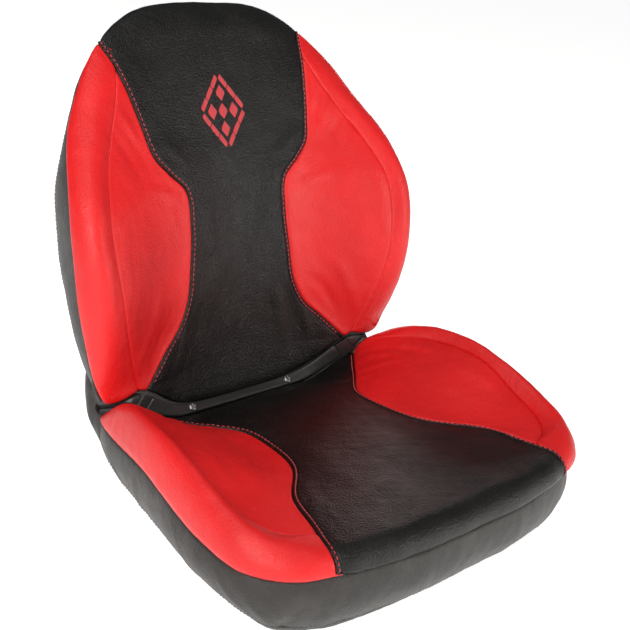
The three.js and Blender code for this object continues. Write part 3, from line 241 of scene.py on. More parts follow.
back_insert_at = width_along(BACK_INSERT)
back_crest_at = width_along(BACK_CREST)
back_width_at = width_along(BACK_OUTLINE[3:12])
back_middle_y = profile([(40, 2), (70, 6), (90, 8), (120, 12), (200, 20), (260, 27), (300, 34), (360, 48),
                         (421, 71), (480, 96), (541, 126), (560, 132)])
back_insert_y = profile([(40, -30), (100, -26), (128, -22), (140, -17), (160, -8), (180, 0), (200, 4),
                         (260, 14), (300, 22), (340, 31), (360, 35), (380, 41), (400, 50), (420, 59),
                         (460, 80), (500, 108), (541, 124), (560, 130)])
back_crest_rise = profile([(40, 0), (100, 0), (135, 3), (180, 30), (220, 44), (260, 51), (300, 50),
                           (340, 43), (360, 33), (380, 22), (400, 14), (420, 8), (440, 4), (480, 0),
                           (560, 0)])
back_outer_rise = profile([(40, 0), (100, 0), (135, 6), (180, 38), (220, 53), (260, 60), (300, 62),
                           (340, 56), (360, 48), (380, 38), (400, 28), (420, 18), (440, 10), (480, 3),
                           (500, 0), (560, 0)])
back_edge_y = profile([(40, -14), (100, -16), (137, -19), (190, -11), (251, 2), (311, 12), (365, 34),
                       (421, 77), (463, 99), (500, 118), (525, 140), (541, 150), (560, 152)])
back_rear_y = profile([(60, 36), (100, 44), (160, 58), (231, 74), (290, 87), (340, 97), (400, 112),
                       (430, 121), (470, 137), (510, 160), (541, 176), (560, 183)])


def back_top(x, q):
    z = -q
    across = np.abs(x)
    insert = back_insert_at(z)
    crest = np.maximum(back_crest_at(z), insert + 4)
    outer = np.maximum(back_width_at(z) - 7, crest + 8)
    sag = (back_middle_y(z) - back_insert_y(z)) * np.minimum(1, across / insert) ** 2
    rise = bolster(across, insert, crest, outer, back_crest_rise(z), back_outer_rise(z))
    return sag - back_middle_y(z) + rise


def back_edge(x, q):
    k = smoothstep((130 + q) / 22)
    low = 6 - 7 * smoothstep((np.abs(x) - 100) / 100)
    return -(back_edge_y(-q) * (1 - k) + low * k)


def back_inset(angle):
    a = np.abs(angle)
    hips = 20 * smoothstep((a - 0.6) / 0.5) * (1 - smoothstep((a - 1.7) / 0.45))
    return 2 + 18 * (1 - smoothstep((a - 0.3) / 0.7)) + hips


def to_back_plan(points):
    """The back is laid out lying down, with its top where the seat's front is."""
    return [(x, -z) for x, z in points]


seat_face = CushionFace(SEAT_CENTRE, SEAT_OUTLINE, seat_top, seat_edge, roll=26, tuck=math.radians(112),
                        inset=seat_inset, band=44)
back_face = CushionFace(-BACK_CENTRE, to_back_plan(BACK_OUTLINE), back_top, back_edge, roll=28,
                        tuck=math.radians(120), inset=back_inset, band=46)


class Surface:
    """A cushion face in space: points and outward normals from flat places."""

    def __init__(self, face, to_space, outward):
        self.face, self.to_space, self.outward = face, to_space, outward

    def at(self, angle, reach):
        return self.to_space(self.face.place(np.asarray(angle, float), np.asarray(reach, float)))

    def point(self, flat):
        return self.at(*self.face.unflat(flat))

    def normal(self, flat, step=1.2):
        dx, dy = np.array([step, 0]), np.array([0, step])
        across = self.point(flat + dx) - self.point(flat - dx)
        down = self.point(flat + dy) - self.point(flat - dy)
        return unit(np.cross(across, down) * self.outward)


def standing(place):
    """The back's layout, stood up behind the seat."""
    return np.stack([place[..., 0], -place[..., 2], -place[..., 1]], -1)


seat_surface = Surface(seat_face, lambda place: place, 1)
back_surface = Surface(back_face, standing, -1)


# ---- seams and patches
def lay_out(surface, insert_plan, crest_plan, crease_middle, side_end):
    """A cushion's seams as flat curves; meet is where the crest seam runs into the insert seam."""
    face = surface.face
    insert = face.flat_from_plan(smooth_curve(insert_plan)[:, :2])
    crest = face.flat_from_plan(smooth_curve(crest_plan)[:, :2])
    meet = int(np.argmin(np.linalg.norm(insert - crest[-1], axis=1)))
    tip = insert[-1]
    tip_angle = math.atan2(tip[0], face.centre - tip[1])
    edge_end = face.flat(np.array(tip_angle), np.array(EDGE_REACH))
    return {"surface": surface, "insert": np.vstack([insert, edge_end]), "meet": meet, "crest": crest,
            "tip_angle": tip_angle, "crease_middle": crease_middle, "side_end": side_end}


def coons(rear, front, left, right, shares):
    """A patch between four curves; left and right run from rear to front, shares across it."""
    u = shares[None, :, None]
    v = even(len(left) - 1)[:, None, None]
    corners = (rear[0] * (1 - u) * (1 - v) + rear[-1] * u * (1 - v)
               + front[0] * (1 - u) * v + front[-1] * u * v)
    return rear[None] * (1 - v) + front[None] * v + left[:, None] * (1 - u) + right[:, None] * u - corners


def between(left, right):
    """The patch between two seams, with straight ends and its columns crowded at the seams."""
    across = crowded(BOLSTER_COLUMNS)[:, None]
    rear, front = (left[k] + (right[k] - left[k]) * across for k in (0, -1))
    return coons(rear, front, left, right, crowded(BOLSTER_COLUMNS))


def patches(seams):
    """The flat grids of one cushion's panels; the bolsters are those of the sitter's left."""
    face = seams["surface"].face
    insert, crest, meet = seams["insert"], seams["crest"], seams["meet"]
    tip, side_end = seams["tip_angle"], seams["side_end"]
    side = along(insert, even(PANEL_ROWS))
    start = side[0]
    middle = start[1] + (seams["crease_middle"] - start[1]) * np.array([0, 0.7, 1, 0.7, 0])
    crease = smooth_curve(list(zip(start[0] * np.array([-1, -0.6, 0, 0.6, 1]), middle)))[:, :2]
    columns = crowded(CENTER_COLUMNS)
    rear = along(crease, columns)
    run = lengths_along(rear)
    front = face.flat(-tip + 2 * tip * columns, np.full(len(columns), EDGE_REACH))
    center = coons(rear, front, side * np.array([-1, 1]), side, run / run[-1])
    rows = even(BOLSTER_ROWS)
    inner = between(along(insert[:meet + 1], rows), along(crest, rows))
    rows = even(PANEL_ROWS)
    edge = face.flat(side_end + (tip - side_end) * rows, np.full(len(rows), EDGE_REACH))
    outer = between(along(np.vstack([crest, insert[meet + 1:]]), rows), edge)
    return {"center": center, "inner": inner, "outer": outer}


seat_seams = lay_out(seat_surface, SEAT_INSERT, SEAT_CREST, crease_middle=-13, side_end=SEAT_SIDE_END)
back_seams = lay_out(back_surface, to_back_plan(BACK_INSERT), to_back_plan(BACK_CREST),
                     crease_middle=-75, side_end=BACK_SIDE_END)


# ---- relief: swelling, seams, folds
def waves(seed, longest, shortest, count=14):
    """A smooth random field: a sum of sine waves in space, always the same for one seed."""
    rng = np.random.default_rng(seed)
    directions = unit(rng.normal(size=(count, 3)))
    lengths = np.geomspace(longest, shortest, count)
    phases = rng.uniform(0, 2 * np.pi, count)

    def field(p):
        total = 0
        for d, length, phase in zip(directions, lengths, phases):
            total = total + np.sin(2 * np.pi * (p @ d) / length + phase) * (length / longest) ** 0.6
        return total / math.sqrt(count / 2)
    return field


lumps = waves(seed=3, longest=150, shortest=45)
ripples = waves(seed=11, longest=30, shortest=11)


def folds(plan, creases):
    """Drawn folds: each is (x, y, direction in degrees, length, width, height) in the plan."""
    total = np.zeros(plan.shape[:-1])
    for x, y, direction, length, width, height in creases:
        c, s = math.cos(math.radians(direction)), math.sin(math.radians(direction))
        dx, dy = plan[..., 0] - x, plan[..., 1] - y
        run = (dx * c + dy * s) / length
        off = (-dx * s + dy * c - 0.105 * length * run ** 2) / width
        total += height * (1 - 1.6 * off) * np.exp(-off ** 2 - (run * 1.6) ** 4)
    return total


def edge_distances(p):
    """How far each point of a grid is from the grid's four sides, in millimetres."""
    across, down = lengths_along(p, 1), lengths_along(p, 0)
    return {"left": across, "right": across[:, -1:] - across, "rear": down, "front": down[-1:] - down}


def plain_seam(d, depth, width, swell):
    """A seam's valley at distance d, and the padding that swells up beyond it."""
    return swell * (1 - np.exp(-d / 13)) - depth * np.exp(-(d / width) ** 1.4)


def welt_seam(d):
    """A turned welt between the seam and its topstitching, then the swelling of the insert."""
    ridge = 1.15 * np.sin(np.clip(d / WELT, 0, 1) * np.pi) ** 0.6
    groove = -1.0 * np.exp(-((d - WELT - 0.2) / 0.95) ** 2)
    valley = -2.0 * np.exp(-(d / 1.1) ** 2)
    return ridge + groove + valley + 1.7 * (1 - np.exp(-np.maximum(d - WELT, 0) / 12))


def puckers(d, run, seed, pitch, height, reach):
    """The gathers that a line of stitching pulls into the sheet beside it: d from it, run along it."""
    rng = np.random.default_rng(seed)
    shift = np.interp(run, np.linspace(0, 700, 60), rng.uniform(-3, 3, 60))
    strength = np.interp(run, np.linspace(0, 700, 24), rng.uniform(0.25, 1, 24))
    return height * strength * np.cos(2 * np.pi * (run + shift) / pitch) * np.exp(-d / reach) * (
        1 - np.exp(-d / 1.5))


SEAT_FOLDS = [
    (168, -78, 118, 44, 7, 1.3), (180, -96, 112, 50, 8, -1.2), (150, -92, 128, 40, 6, 0.9),
    (196, -112, 105, 46, 8, 0.8), (-165, -80, 60, 44, 8, 1.0), (-182, -104, 66, 48, 8, -0.9),
    (205, -210, 98, 60, 10, 0.6), (-205, -215, 84, 60, 10, 0.6), (150, -296, 140, 44, 9, 0.8),
    (-150, -296, 40, 44, 9, 0.7), (40, -60, 172, 70, 9, 0.7), (-50, -66, 8, 70, 9, 0.6),
    (110, -80, 150, 46, 7, 0.8), (-112, -84, 32, 46, 7, 0.7), (60, -250, 168, 70, 14, 0.4),
    (-40, -300, 14, 80, 14, 0.4), (236, -320, 60, 36, 7, 0.7), (-238, -322, 118, 36, 7, 0.7),
]
BACK_FOLDS = [
    (150, 418, 58, 44, 7, 1.4), (166, 404, 52, 40, 7, -1.2), (142, 442, 64, 40, 6, 1.0),
    (176, 388, 48, 44, 8, 0.9), (-150, 420, 122, 40, 7, 0.8), (-168, 400, 128, 42, 8, -0.8),
    (150, 206, 118, 60, 9, 0.9), (128, 188, 126, 46, 7, -0.8), (-150, 206, 62, 60, 9, 0.45),
    (-130, 190, 54, 46, 7, -0.4), (96, 168, 108, 62, 8, 1.2), (78, 158, 100, 66, 8, -0.9),
    (60, 172, 96, 60, 9, 0.8), (-92, 166, 74, 62, 8, 0.5), (-70, 160, 82, 62, 9, -0.35),
    (40, 300, 78, 80, 12, 0.6), (-46, 286, 104, 84, 12, 0.5), (20, 232, 94, 76, 12, 0.6),
    (84, 382, 40, 40, 8, 0.8), (-86, 380, 138, 40, 8, 0.7), (196, 300, 92, 90, 10, 0.5),
    (-198, 290, 88, 90, 10, 0.5), (118, 340, 20, 40, 7, 0.7), (-116, 342, 160, 40, 7, 0.7),
]


# ---- making pieces
def place(points):
    """Layout millimetres to the frame's metres."""
    return np.asarray(points, float) * MM + np.array([0, CREASE_Y, 0])


def solid_tree(name):
    """A CAD solid, ready to be searched for its nearest face."""
    node = bpy.data.objects[name]
    corners = [node.matrix_world @ v.co for v in node.data.vertices]
    return BVHTree.FromPolygons(corners, [tuple(face.vertices) for face in node.data.polygons])


FOAM_TREES = [solid_tree(name) for name in ("seat_foam", "back_foam")]


def clear_of_foam(points, normals, gap, most):
    """The sheet, lifted by up to most wherever it is nearer than gap to the foam under it."""
    lifted = points.reshape(-1, 3).copy()
    for k, (at, out) in enumerate(zip(place(lifted), normals.reshape(-1, 3))):
        for tree in FOAM_TREES:
            hit, facing, _, _ = tree.find_nearest(Vector(at), most * MM)
            if hit is not None:
                height = (Vector(at) - hit).dot(facing) / MM
                lifted[k] += out * np.clip(gap - height, 0, most)
    return lifted.reshape(points.shape)


def make_piece(name, points, faces, material, replaces):
    """A smooth mesh that rides on the one body and stands for the CAD nodes it replaces."""
    mesh = bpy.data.meshes.new(name)
    mesh.from_pydata(place(points).tolist(), [], [list(map(int, f)) for f in faces])
    mesh.update()
    mesh.polygons.foreach_set("use_smooth", [True] * len(mesh.polygons))
    mesh.materials.append(material)
    piece = bpy.data.objects.new(name, mesh)
    bpy.context.scene.collection.objects.link(piece)
    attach(piece, "root")
    if replaces:
        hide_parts(*replaces)
    return piece


def tube_faces(rings, sides, first=0):
    """The quads of a tube whose points come ring after ring."""
    faces = []
    for start in range(first, first + (rings - 1) * sides, sides):
        for k in range(sides):
            a, b = start + k, start + (k + 1) % sides
            faces.append((a, b, b + sides, a + sides))
    return faces


def grid_faces(rows, columns, flip=False):
    a = (np.arange(rows - 1)[:, None] * columns + np.arange(columns - 1)[None]).ravel()
    quads = np.stack([a, a + columns, a + columns + 1, a + 1], -1)
    return quads[:, ::-1] if flip else quads


def turned_in(p, n, depth):
    """The grid with a seam allowance turned down all round it."""
    for axis in (0, 1):
        for end, inner in ((0, 3), (-1, -4)):
            edge, out = np.take(p, [end], axis=axis), np.take(n, [end], axis=axis)
            inward = np.take(p, [inner], axis=axis) - edge
            down = edge - out * depth + inward * 0.5
            p = np.concatenate([down, p] if end == 0 else [p, down], axis)
            n = np.concatenate([out, n] if end == 0 else [n, out], axis)
    return p


def add_grid(name, points, normals, material, replaces, allowance):
    """A sheet on a grid of points, its faces turned to the normals' side."""
    i, j = points.shape[0] // 2, points.shape[1] // 2
    turn = np.cross(points[i + 1, j] - points[i, j], points[i, j + 1] - points[i, j])
    flip = float(turn @ normals[i, j]) < 0
    whole = turned_in(points, normals, allowance)
    faces = grid_faces(*whole.shape[:2], flip)
    return make_piece(name, whole.reshape(-1, 3), faces, material, replaces)


def grid_normals(p, towards):
    """Normals of a grid, on the side that faces away from the point given."""
    n = np.cross(np.gradient(p, axis=1), np.gradient(p, axis=0))
    n /= np.maximum(np.linalg.norm(n, axis=-1, keepdims=True), 1e-9)
    i, j = p.shape[0] // 2, p.shape[1] // 2
    return -n if (p[i, j] - towards) @ n[i, j] < 0 else n


# ---- materials
class Nodes:
    """A material under construction."""

    def __init__(self, name):
        self.material = bpy.data.materials.new(name)
        self.material.use_nodes = True
        self.tree = self.material.node_tree
        self.shader = next(n for n in self.tree.nodes if n.type == "BSDF_PRINCIPLED")
        self.place = self.add("ShaderNodeTexCoord").outputs["Object"]

    def plug(self, value, socket):
        if isinstance(value, bpy.types.NodeSocket):
            self.tree.links.new(value, socket)
        else:
            socket.default_value = value

    def add(self, kind, inputs=(), **settings):
        node = self.tree.nodes.new(kind)
        for key, value in settings.items():
            setattr(node, key, value)
        for key, value in dict(inputs).items():
            self.plug(value, node.inputs[key])
        return node

    def noise(self, scale, detail=4.0, roughness=0.55, vector=None):
        return self.add("ShaderNodeTexNoise", {"Vector": vector or self.place, "Scale": scale,
                                               "Detail": detail, "Roughness": roughness}).outputs["Fac"]

    def cells(self, scale, feature="F1", vector=None):
        return self.add("ShaderNodeTexVoronoi", {"Vector": vector or self.place, "Scale": scale},
                        feature=feature).outputs["Distance"]

    def math(self, operation, a, b=0.0):
        return self.add("ShaderNodeMath", {0: a, 1: b}, operation=operation).outputs[0]

    def ramp(self, value, low, high, to_low, to_high):
        return self.add("ShaderNodeMapRange", {"Value": value, "From Min": low, "From Max": high,
                                               "To Min": to_low, "To Max": to_high}).outputs["Result"]

    def mix(self, factor, a, b):
        a, b = ((*c, 1) if isinstance(c, tuple) else c for c in (a, b))
        return self.add("ShaderNodeMix", {0: factor, 6: a, 7: b}, data_type="RGBA").outputs[2]

    def bump(self, height, strength, distance, under=None):
        inputs = {"Height": height, "Strength": strength, "Distance": distance}
        if under is not None:
            inputs["Normal"] = under
        return self.add("ShaderNodeBump", inputs).outputs["Normal"]

    def feed(self, **values):
        for key, value in values.items():
            self.plug(value, self.shader.inputs[key.replace("_", " ")])
        return self.material


def vinyl(name, shade, light, rough, grain, level=0.5, sheen=0.0, dust=0.0, dust_shade=(0.1, 0.09, 0.08)):
    """Grained vinyl: small pebbles, finer wrinkles between them, and slow change of colour and gloss."""
    m = Nodes(name)
    slow = m.noise(9.0, 3.0)
    medium = m.noise(70.0, 4.0)
    pebbles = m.cells(720.0)
    creases = m.cells(430.0, "DISTANCE_TO_EDGE")
    colour = m.mix(m.ramp(slow, 0.35, 0.65, 0, 1), shade, light)
    pores = m.ramp(pebbles, 0.0, 0.75, 1.0, 0.0)
    colour = m.mix(m.math("MULTIPLY", pores, 0.18), colour, tuple(c * 0.55 for c in shade))
    if dust:
        patchy = m.ramp(m.noise(23.0, 6.0, 0.65), 0.5, 0.72, 0.0, dust)
        colour = m.mix(patchy, colour, dust_shade)
    roughness = m.math("ADD", m.ramp(medium, 0.3, 0.7, rough - 0.05, rough + 0.06),
                       m.math("MULTIPLY", slow, 0.06))
    fine = m.bump(m.ramp(creases, 0.0, 0.22, 0.0, 1.0), grain * 0.6, 0.00025)
    normal = m.bump(pebbles, grain, 0.0005, fine)
    normal = m.bump(m.noise(360.0, 2.0, 0.5), grain, 0.0011, normal)
    normal = m.bump(medium, 0.2, 0.0012, normal)
    return m.feed(Base_Color=colour, Roughness=roughness, Normal=normal, Sheen_Weight=sheen,
                  Sheen_Roughness=0.4, Specular_IOR_Level=level)


def spacer_mesh(name):
    """Knitted spacer fabric: rows of small open cells between ribs."""
    m = Nodes(name)
    stretched = m.add("ShaderNodeMapping", {"Vector": m.place, "Scale": (1.0, 0.62, 0.62)}).outputs[0]
    holes = m.ramp(m.cells(340.0, vector=stretched), 0.2, 0.55, 0.0, 1.0)
    ribs = m.add("ShaderNodeTexWave", {"Vector": m.place, "Scale": 95.0, "Distortion": 0.6},
                 bands_direction="X").outputs["Fac"]
    colour = m.mix(holes, (0.0035, 0.0035, 0.0037), (0.018, 0.018, 0.019))
    colour = m.mix(m.math("MULTIPLY", ribs, 0.35), colour, (0.03, 0.03, 0.031))
    normal = m.bump(holes, 0.6, 0.0006, m.bump(ribs, 0.5, 0.0007))
    return m.feed(Base_Color=colour, Roughness=m.ramp(ribs, 0, 1, 0.85, 0.7), Normal=normal,
                  Sheen_Weight=0.25, Sheen_Roughness=0.5)


def thread(name, shade, light):
    """Twisted thread: fine slanted plies, with a soft shine."""
    m = Nodes(name)
    plies = m.add("ShaderNodeTexWave", {"Vector": m.place, "Scale": 900.0, "Distortion": 1.5},
                  bands_direction="DIAGONAL").outputs["Fac"]
    colour = m.mix(m.math("MULTIPLY", plies, 0.8), shade, light)
    return m.feed(Base_Color=colour, Roughness=m.ramp(plies, 0, 1, 0.6, 0.42),
                  Normal=m.bump(plies, 0.5, 0.0002), Sheen_Weight=0.3, Sheen_Roughness=0.4)


def moulded(name, shade, rough):
    """Moulded plastic: a fine spark-eroded texture with light scuffs."""
    m = Nodes(name)
    eroded = m.noise(1600.0, 3.0, 0.6)
    scuffs = m.noise(60.0, 8.0, 0.7, m.add("ShaderNodeMapping", {"Vector": m.place,
                                                                 "Scale": (0.25, 2.0, 2.0)}).outputs[0])
    lighter = tuple(c * 1.9 + 0.004 for c in shade)
    colour = m.mix(m.ramp(scuffs, 0.52, 0.75, 0.0, 0.6), shade, lighter)
    roughness = m.ramp(scuffs, 0.3, 0.8, rough - 0.04, rough + 0.16)
    return m.feed(Base_Color=colour, Roughness=roughness, Normal=m.bump(eroded, 0.12, 0.00015))


def metal(name, shade, rough, metallic=1.0, speckle=900.0, coat=0.0):
    """Plated or painted steel: orange peel or crystal speckle, with wear in the open places."""
    m = Nodes(name)
    peel = m.noise(speckle, 2.0)
    wear = m.noise(45.0, 8.0, 0.7)
    colour = m.mix(m.ramp(wear, 0.45, 0.75, 0.0, 0.5), shade, tuple(min(1, c * 1.35 + 0.01) for c in shade))
    roughness = m.ramp(wear, 0.3, 0.75, rough - 0.05, rough + 0.14)
    return m.feed(Base_Color=colour, Roughness=roughness, Metallic=metallic, Coat_Weight=coat,
                  Normal=m.bump(peel, 0.15, 0.0002))


def open_foam(name):
    """Cut foam with its open cells."""
    m = Nodes(name)
    cells = m.cells(600.0)
    colour = m.mix(m.ramp(cells, 0.1, 0.6, 0, 1), (0.30, 0.23, 0.12), (0.62, 0.50, 0.30))
    return m.feed(Base_Color=colour, Roughness=0.95, Normal=m.bump(cells, 0.6, 0.0006))


def pale_floor(name):
    """A studio floor that stays near white and still takes the seat's shadow."""
    m = Nodes(name)
    soft = m.noise(1.4, 2.0)
    colour = m.mix(soft, (0.90, 0.90, 0.90), (0.93, 0.93, 0.93))
    return m.feed(Base_Color=colour, Roughness=0.9, Specular_IOR_Level=0.1,
                  Emission_Color=(1, 1, 1, 1), Emission_Strength=0.80)


RED = vinyl("red vinyl", (0.62, 0.0075, 0.0095), (0.73, 0.0100, 0.0118), 0.43, grain=0.40, level=0.42)
BLACK = vinyl("black vinyl", (0.0026, 0.0024, 0.0023), (0.0040, 0.0035, 0.0033), 0.36, grain=0.75,
              level=0.36, dust=0.12, dust_shade=(0.05, 0.042, 0.038))
# The side bands' vinyl is lighter than the black vinyl partly as painted light, standing in for the bounce
# from the floor onto the sides, and partly as dust.
BOXING = vinyl("black boxing vinyl", (0.0165, 0.0146, 0.0134), (0.026, 0.0232, 0.0214), 0.50, grain=0.6,
               sheen=0.05, dust=0.25)
MESH_FABRIC = spacer_mesh("spacer mesh")
RED_THREAD = thread("red thread", (0.50, 0.020, 0.030), (0.80, 0.06, 0.08))
BLACK_THREAD = thread("black thread", (0.006, 0.006, 0.006), (0.03, 0.03, 0.03))
EMBROIDERY = thread("embroidery thread", (0.42, 0.022, 0.030), (0.66, 0.055, 0.065))
STRIP_PLASTIC = moulded("strip plastic", (0.026, 0.026, 0.026), 0.34)
TRIM_PLASTIC = moulded("trim plastic", (0.010, 0.010, 0.010), 0.42)
PAINTED = metal("painted steel", (0.018, 0.018, 0.020), 0.38, 0.0, 1400.0, 0.25)
ZINC = metal("zinc plate", (0.62, 0.63, 0.65), 0.24)
SCREW_STEEL = metal("screw steel", (0.30, 0.30, 0.31), 0.34)
FOAM = open_foam("foam")
SLOT_MATERIALS = {"painted_steel": PAINTED, "zinc": ZINC, "foam": FOAM, "black_plastic": TRIM_PLASTIC,
                  "black_vinyl": BOXING, "red_vinyl": RED, "mesh_fabric": MESH_FABRIC,
                  "red_thread": EMBROIDERY}


def dress_cad_nodes():
    """Each CAD node that shows gets the material of its record's slot."""
    for row in frame["record"]["subparts"]:
        node = bpy.data.objects.get(row["node"])
        if node is None:
            continue
        material = SLOT_MATERIALS[row["material_slot"]]
        if not node.material_slots:
            node.data.materials.append(material)
        for holder in node.material_slots:
            holder.material = material


dress_cad_nodes()


# ---- cover panels
def panel_relief(kind, creases, p, plan, seed):
    """The height of a panel's padding, seams, gathers and folds over its smooth face."""
    d = edge_distances(p)
    run, side = d["rear"], np.minimum(d["left"], d["right"])
    quiet = 1 - np.exp(-side / 5)
    base = (0.55 * lumps(p) + 0.14 * ripples(p)) * quiet + folds(plan, creases) * quiet
    if kind == "center":
        base += welt_seam(side) + puckers(np.maximum(side - WELT, 0), run, seed, 9.0, 0.35, 7.0)
        base += plain_seam(d["front"], 1.6, 2.0, 0.0) + plain_seam(d["rear"], 1.2, 4.0, 0.0)
    else:
        (left_depth, left_width), right_depth = ((1.9, 1.7), 1.1) if kind == "inner" else ((1.1, 1.2), 1.4)
        base += plain_seam(d["left"], left_depth, left_width, 0.7)
        base += plain_seam(d["right"], right_depth, 1.2, 0.6)
        base += puckers(d["left"], run, seed, 10.0, 0.34, 6.0)
        base += puckers(d["right"], run, seed + 1, 13.0, 0.30, 7.0)
        base += plain_seam(d["rear"], 0.8, 3.0, 0.0) + plain_seam(d["front"], 1.2, 2.0, 0.0)
    return base


def build_panel(kind, seams, flat, sign, seed):
    """A panel's grid with its relief, on the sitter's left (1) or right (-1)."""
    surface = seams["surface"]
    creases, upward = (SEAT_FOLDS, 1) if surface is seat_surface else (BACK_FOLDS, 2)
    flip = np.array([sign, 1, 1])
    p = surface.point(flat) * flip
    n = surface.normal(flat) * flip
    p = p + n * panel_relief(kind, creases, p, p[..., [0, upward]], seed)[..., None]
    return clear_of_foam(p, n, gap=0.2, most=1.2), n


sheet_grids = {}


def cover(prefix, seams, seed):
    """The five panels of one cushion, padded; returns the flat grids they were made from."""
    made = patches(seams)
    for kind, flat in made.items():
        for side, sign in SIDES if kind != "center" else (("", 1),):
            name = f"{prefix}_center_panel" if kind == "center" else f"{prefix}_{side}_{kind}_bolster"
            points, normals = build_panel(kind, seams, flat, sign, seed + len(sheet_grids) * 5)
            sheet_grids[name] = (points, normals)
            material, slot = (BLACK, "black_vinyl") if kind == "center" else (RED, "red_vinyl")
            piece = add_grid(f"{name}_cover", points, normals, material, [name], allowance=7.0)
    return made


seat_patches = cover("seat", seat_seams, seed=100)
back_patches = cover("back", back_seams, seed=200)


# ---- stitches
# one stitch, ring by ring: (place along it, rise, girth)
STITCH_RINGS = [(-0.5, -0.7, 0.45), (-0.36, 0.45, 0.9), (-0.12, 0.8, 1.0), (0.12, 0.8, 1.0),
                (0.36, 0.45, 0.9), (0.5, -0.7, 0.45)]
STITCH_SIDES = 6


def stitch_mesh(path, normals, points, faces, pitch, length, radius):
    """Adds a row of stitches along a path: each rises out of the sheet, lies on it and goes back in."""
    run = lengths_along(path)
    shape = np.array([place for place, _, _ in STITCH_RINGS])
    for middle in np.arange(pitch, run[-1] - pitch, pitch):
        at = middle + shape * length
        spine = np.stack([np.interp(at, run, path[:, k]) for k in range(3)], -1)
        up = unit(np.array([np.interp(middle, run, normals[:, k]) for k in range(3)]))
        side = np.cross(unit(spine[-1] - spine[0]), up)
        first = len(points)
        for centre, (_, lift, size) in zip(spine, STITCH_RINGS):
            for k in range(STITCH_SIDES):
                a = 2 * np.pi * k / STITCH_SIDES
                points.append(centre + up * (lift * radius * 1.6 + math.sin(a) * radius * size * 0.8)
                              + side * (math.cos(a) * radius * size))
        faces.extend(tube_faces(len(STITCH_RINGS), STITCH_SIDES, first))
        faces.append(tuple(range(first, first + STITCH_SIDES))[::-1])
        faces.append(tuple(range(len(points) - STITCH_SIDES, len(points))))


def line_in_grid(name, distance, from_left):
    """The line that runs down a sheet at a set distance from its left or right side, and its normals."""
    p, n = (grid if from_left else grid[:, ::-1] for grid in sheet_grids[name])
    lengths = lengths_along(p, 1)
    return [np.array([[np.interp(distance, row, values[:, k]) for k in range(3)]
                      for row, values in zip(lengths, grid)]) for grid in (p, n)]


def topstitching(prefix):
    """The red rows beside the welts of a centre panel."""
    points, faces = [], []
    for from_left in (True, False):
        path, out = line_in_grid(f"{prefix}_center_panel", WELT + 0.6, from_left)
        stitch_mesh(path[3:-2], out[3:-2], points, faces, pitch=6.0, length=4.5, radius=0.55)
    make_piece(f"{prefix}_insert_topstitching", points, faces, RED_THREAD, ())


topstitching("seat")
topstitching("back")

# ---- side bands
base_curve = smooth_curve(SEAT_BASE)
base_angles = np.arctan2(base_curve[:, 0], SEAT_CENTRE - base_curve[:, 1])


def is_rear(angle):
    return smoothstep((np.abs(angle) - 1.75) / 0.35)


def seat_base_at(angle, inset=0.0, lift=0.0):
    across = np.abs(angle)
    x, y, z = (np.interp(across, base_angles, base_curve[:, k]) for k in range(3))
    x = x - inset * np.sin(across)
    return np.stack([x * np.sign(np.where(angle == 0, 1, angle)), y + inset * np.cos(across), z + lift], -1)


def seat_side(angle, drop):
    """The seat's side, from its edge seam (drop 0) to the pan's rim (1)."""
    edge = seat_surface.at(angle, np.full(np.shape(angle), EDGE_REACH))
    base = seat_base_at(angle)
    lean = drop ** 1.7
    bulge = (9 - 6 * smoothstep((np.abs(angle) - 1.2) / 0.9)) * np.sin(drop * np.pi)
    x = edge[..., 0] * (1 - lean) + base[..., 0] * lean + bulge * np.sin(angle)
    y = edge[..., 1] * (1 - lean) + base[..., 1] * lean - bulge * np.cos(angle)
    return np.stack([x, y, edge[..., 2] * (1 - drop) + base[..., 2] * drop], -1)


def back_rear_inset(angle):
    return 26 + 10 * smoothstep((np.abs(angle) - 0.8) / 0.5)


def back_rear_at(angle, inset, forward=0.0):
    r = back_face.radius(angle) - inset
    z = BACK_CENTRE + r * np.cos(angle)
    return np.stack([r * np.sin(angle), back_rear_y(z) - forward, z], -1)


def back_side(angle, depth):
    """The back's side, from its edge seam (depth 0) to the rear board (1)."""
    bulge = 6 * np.sin(np.clip(depth, 0, 1) * np.pi) ** 0.8
    edge = back_surface.at(angle, np.full(np.shape(angle), EDGE_REACH))
    rear = back_rear_at(angle, back_rear_inset(angle))
    out = np.stack([bulge * np.sin(angle), np.zeros(np.shape(angle)), bulge * np.cos(angle)], -1)
    return edge * (1 - depth)[..., None] + rear * depth[..., None] + out


BOXING_FOLDS = [
    (-1.02, 0.62, 28, 0.03, 0.1, 1.6), (-0.93, 0.7, -22, 0.028, 0.1, -1.3),
    (-1.12, 0.55, 40, 0.03, 0.1, 1.1), (-0.8, 0.66, 10, 0.03, 0.1, 0.9),
    (1.05, 0.6, 20, 0.03, 0.12, 1.0), (0.4, 0.55, 0, 0.03, 0.14, 0.6),
    (-1.45, 0.5, 30, 0.03, 0.12, 0.9), (-1.9, 0.5, -20, 0.03, 0.14, 1.0), (1.8, 0.5, 20, 0.03, 0.14, 0.9),
    (-0.3, 0.6, 0, 0.03, 0.14, 0.6), (0.75, 0.65, -14, 0.028, 0.10, 1.0), (-2.1, 0.6, 10, 0.03, 0.12, 1.0),
]


def band_folds(angle, drop):
    """Short upright folds in a side band: each is (angle, drop, tilt, width, spread, height)."""
    total = np.zeros(angle.shape)
    for a, g, tilt, width, spread, height in BOXING_FOLDS:
        lean = math.tan(math.radians(tilt)) * 0.35
        off = (angle - a - lean * (drop - g)) / width
        total += height * (1 - off) * np.exp(-off ** 2 - ((drop - g) / (spread * 3)) ** 2)
    return total


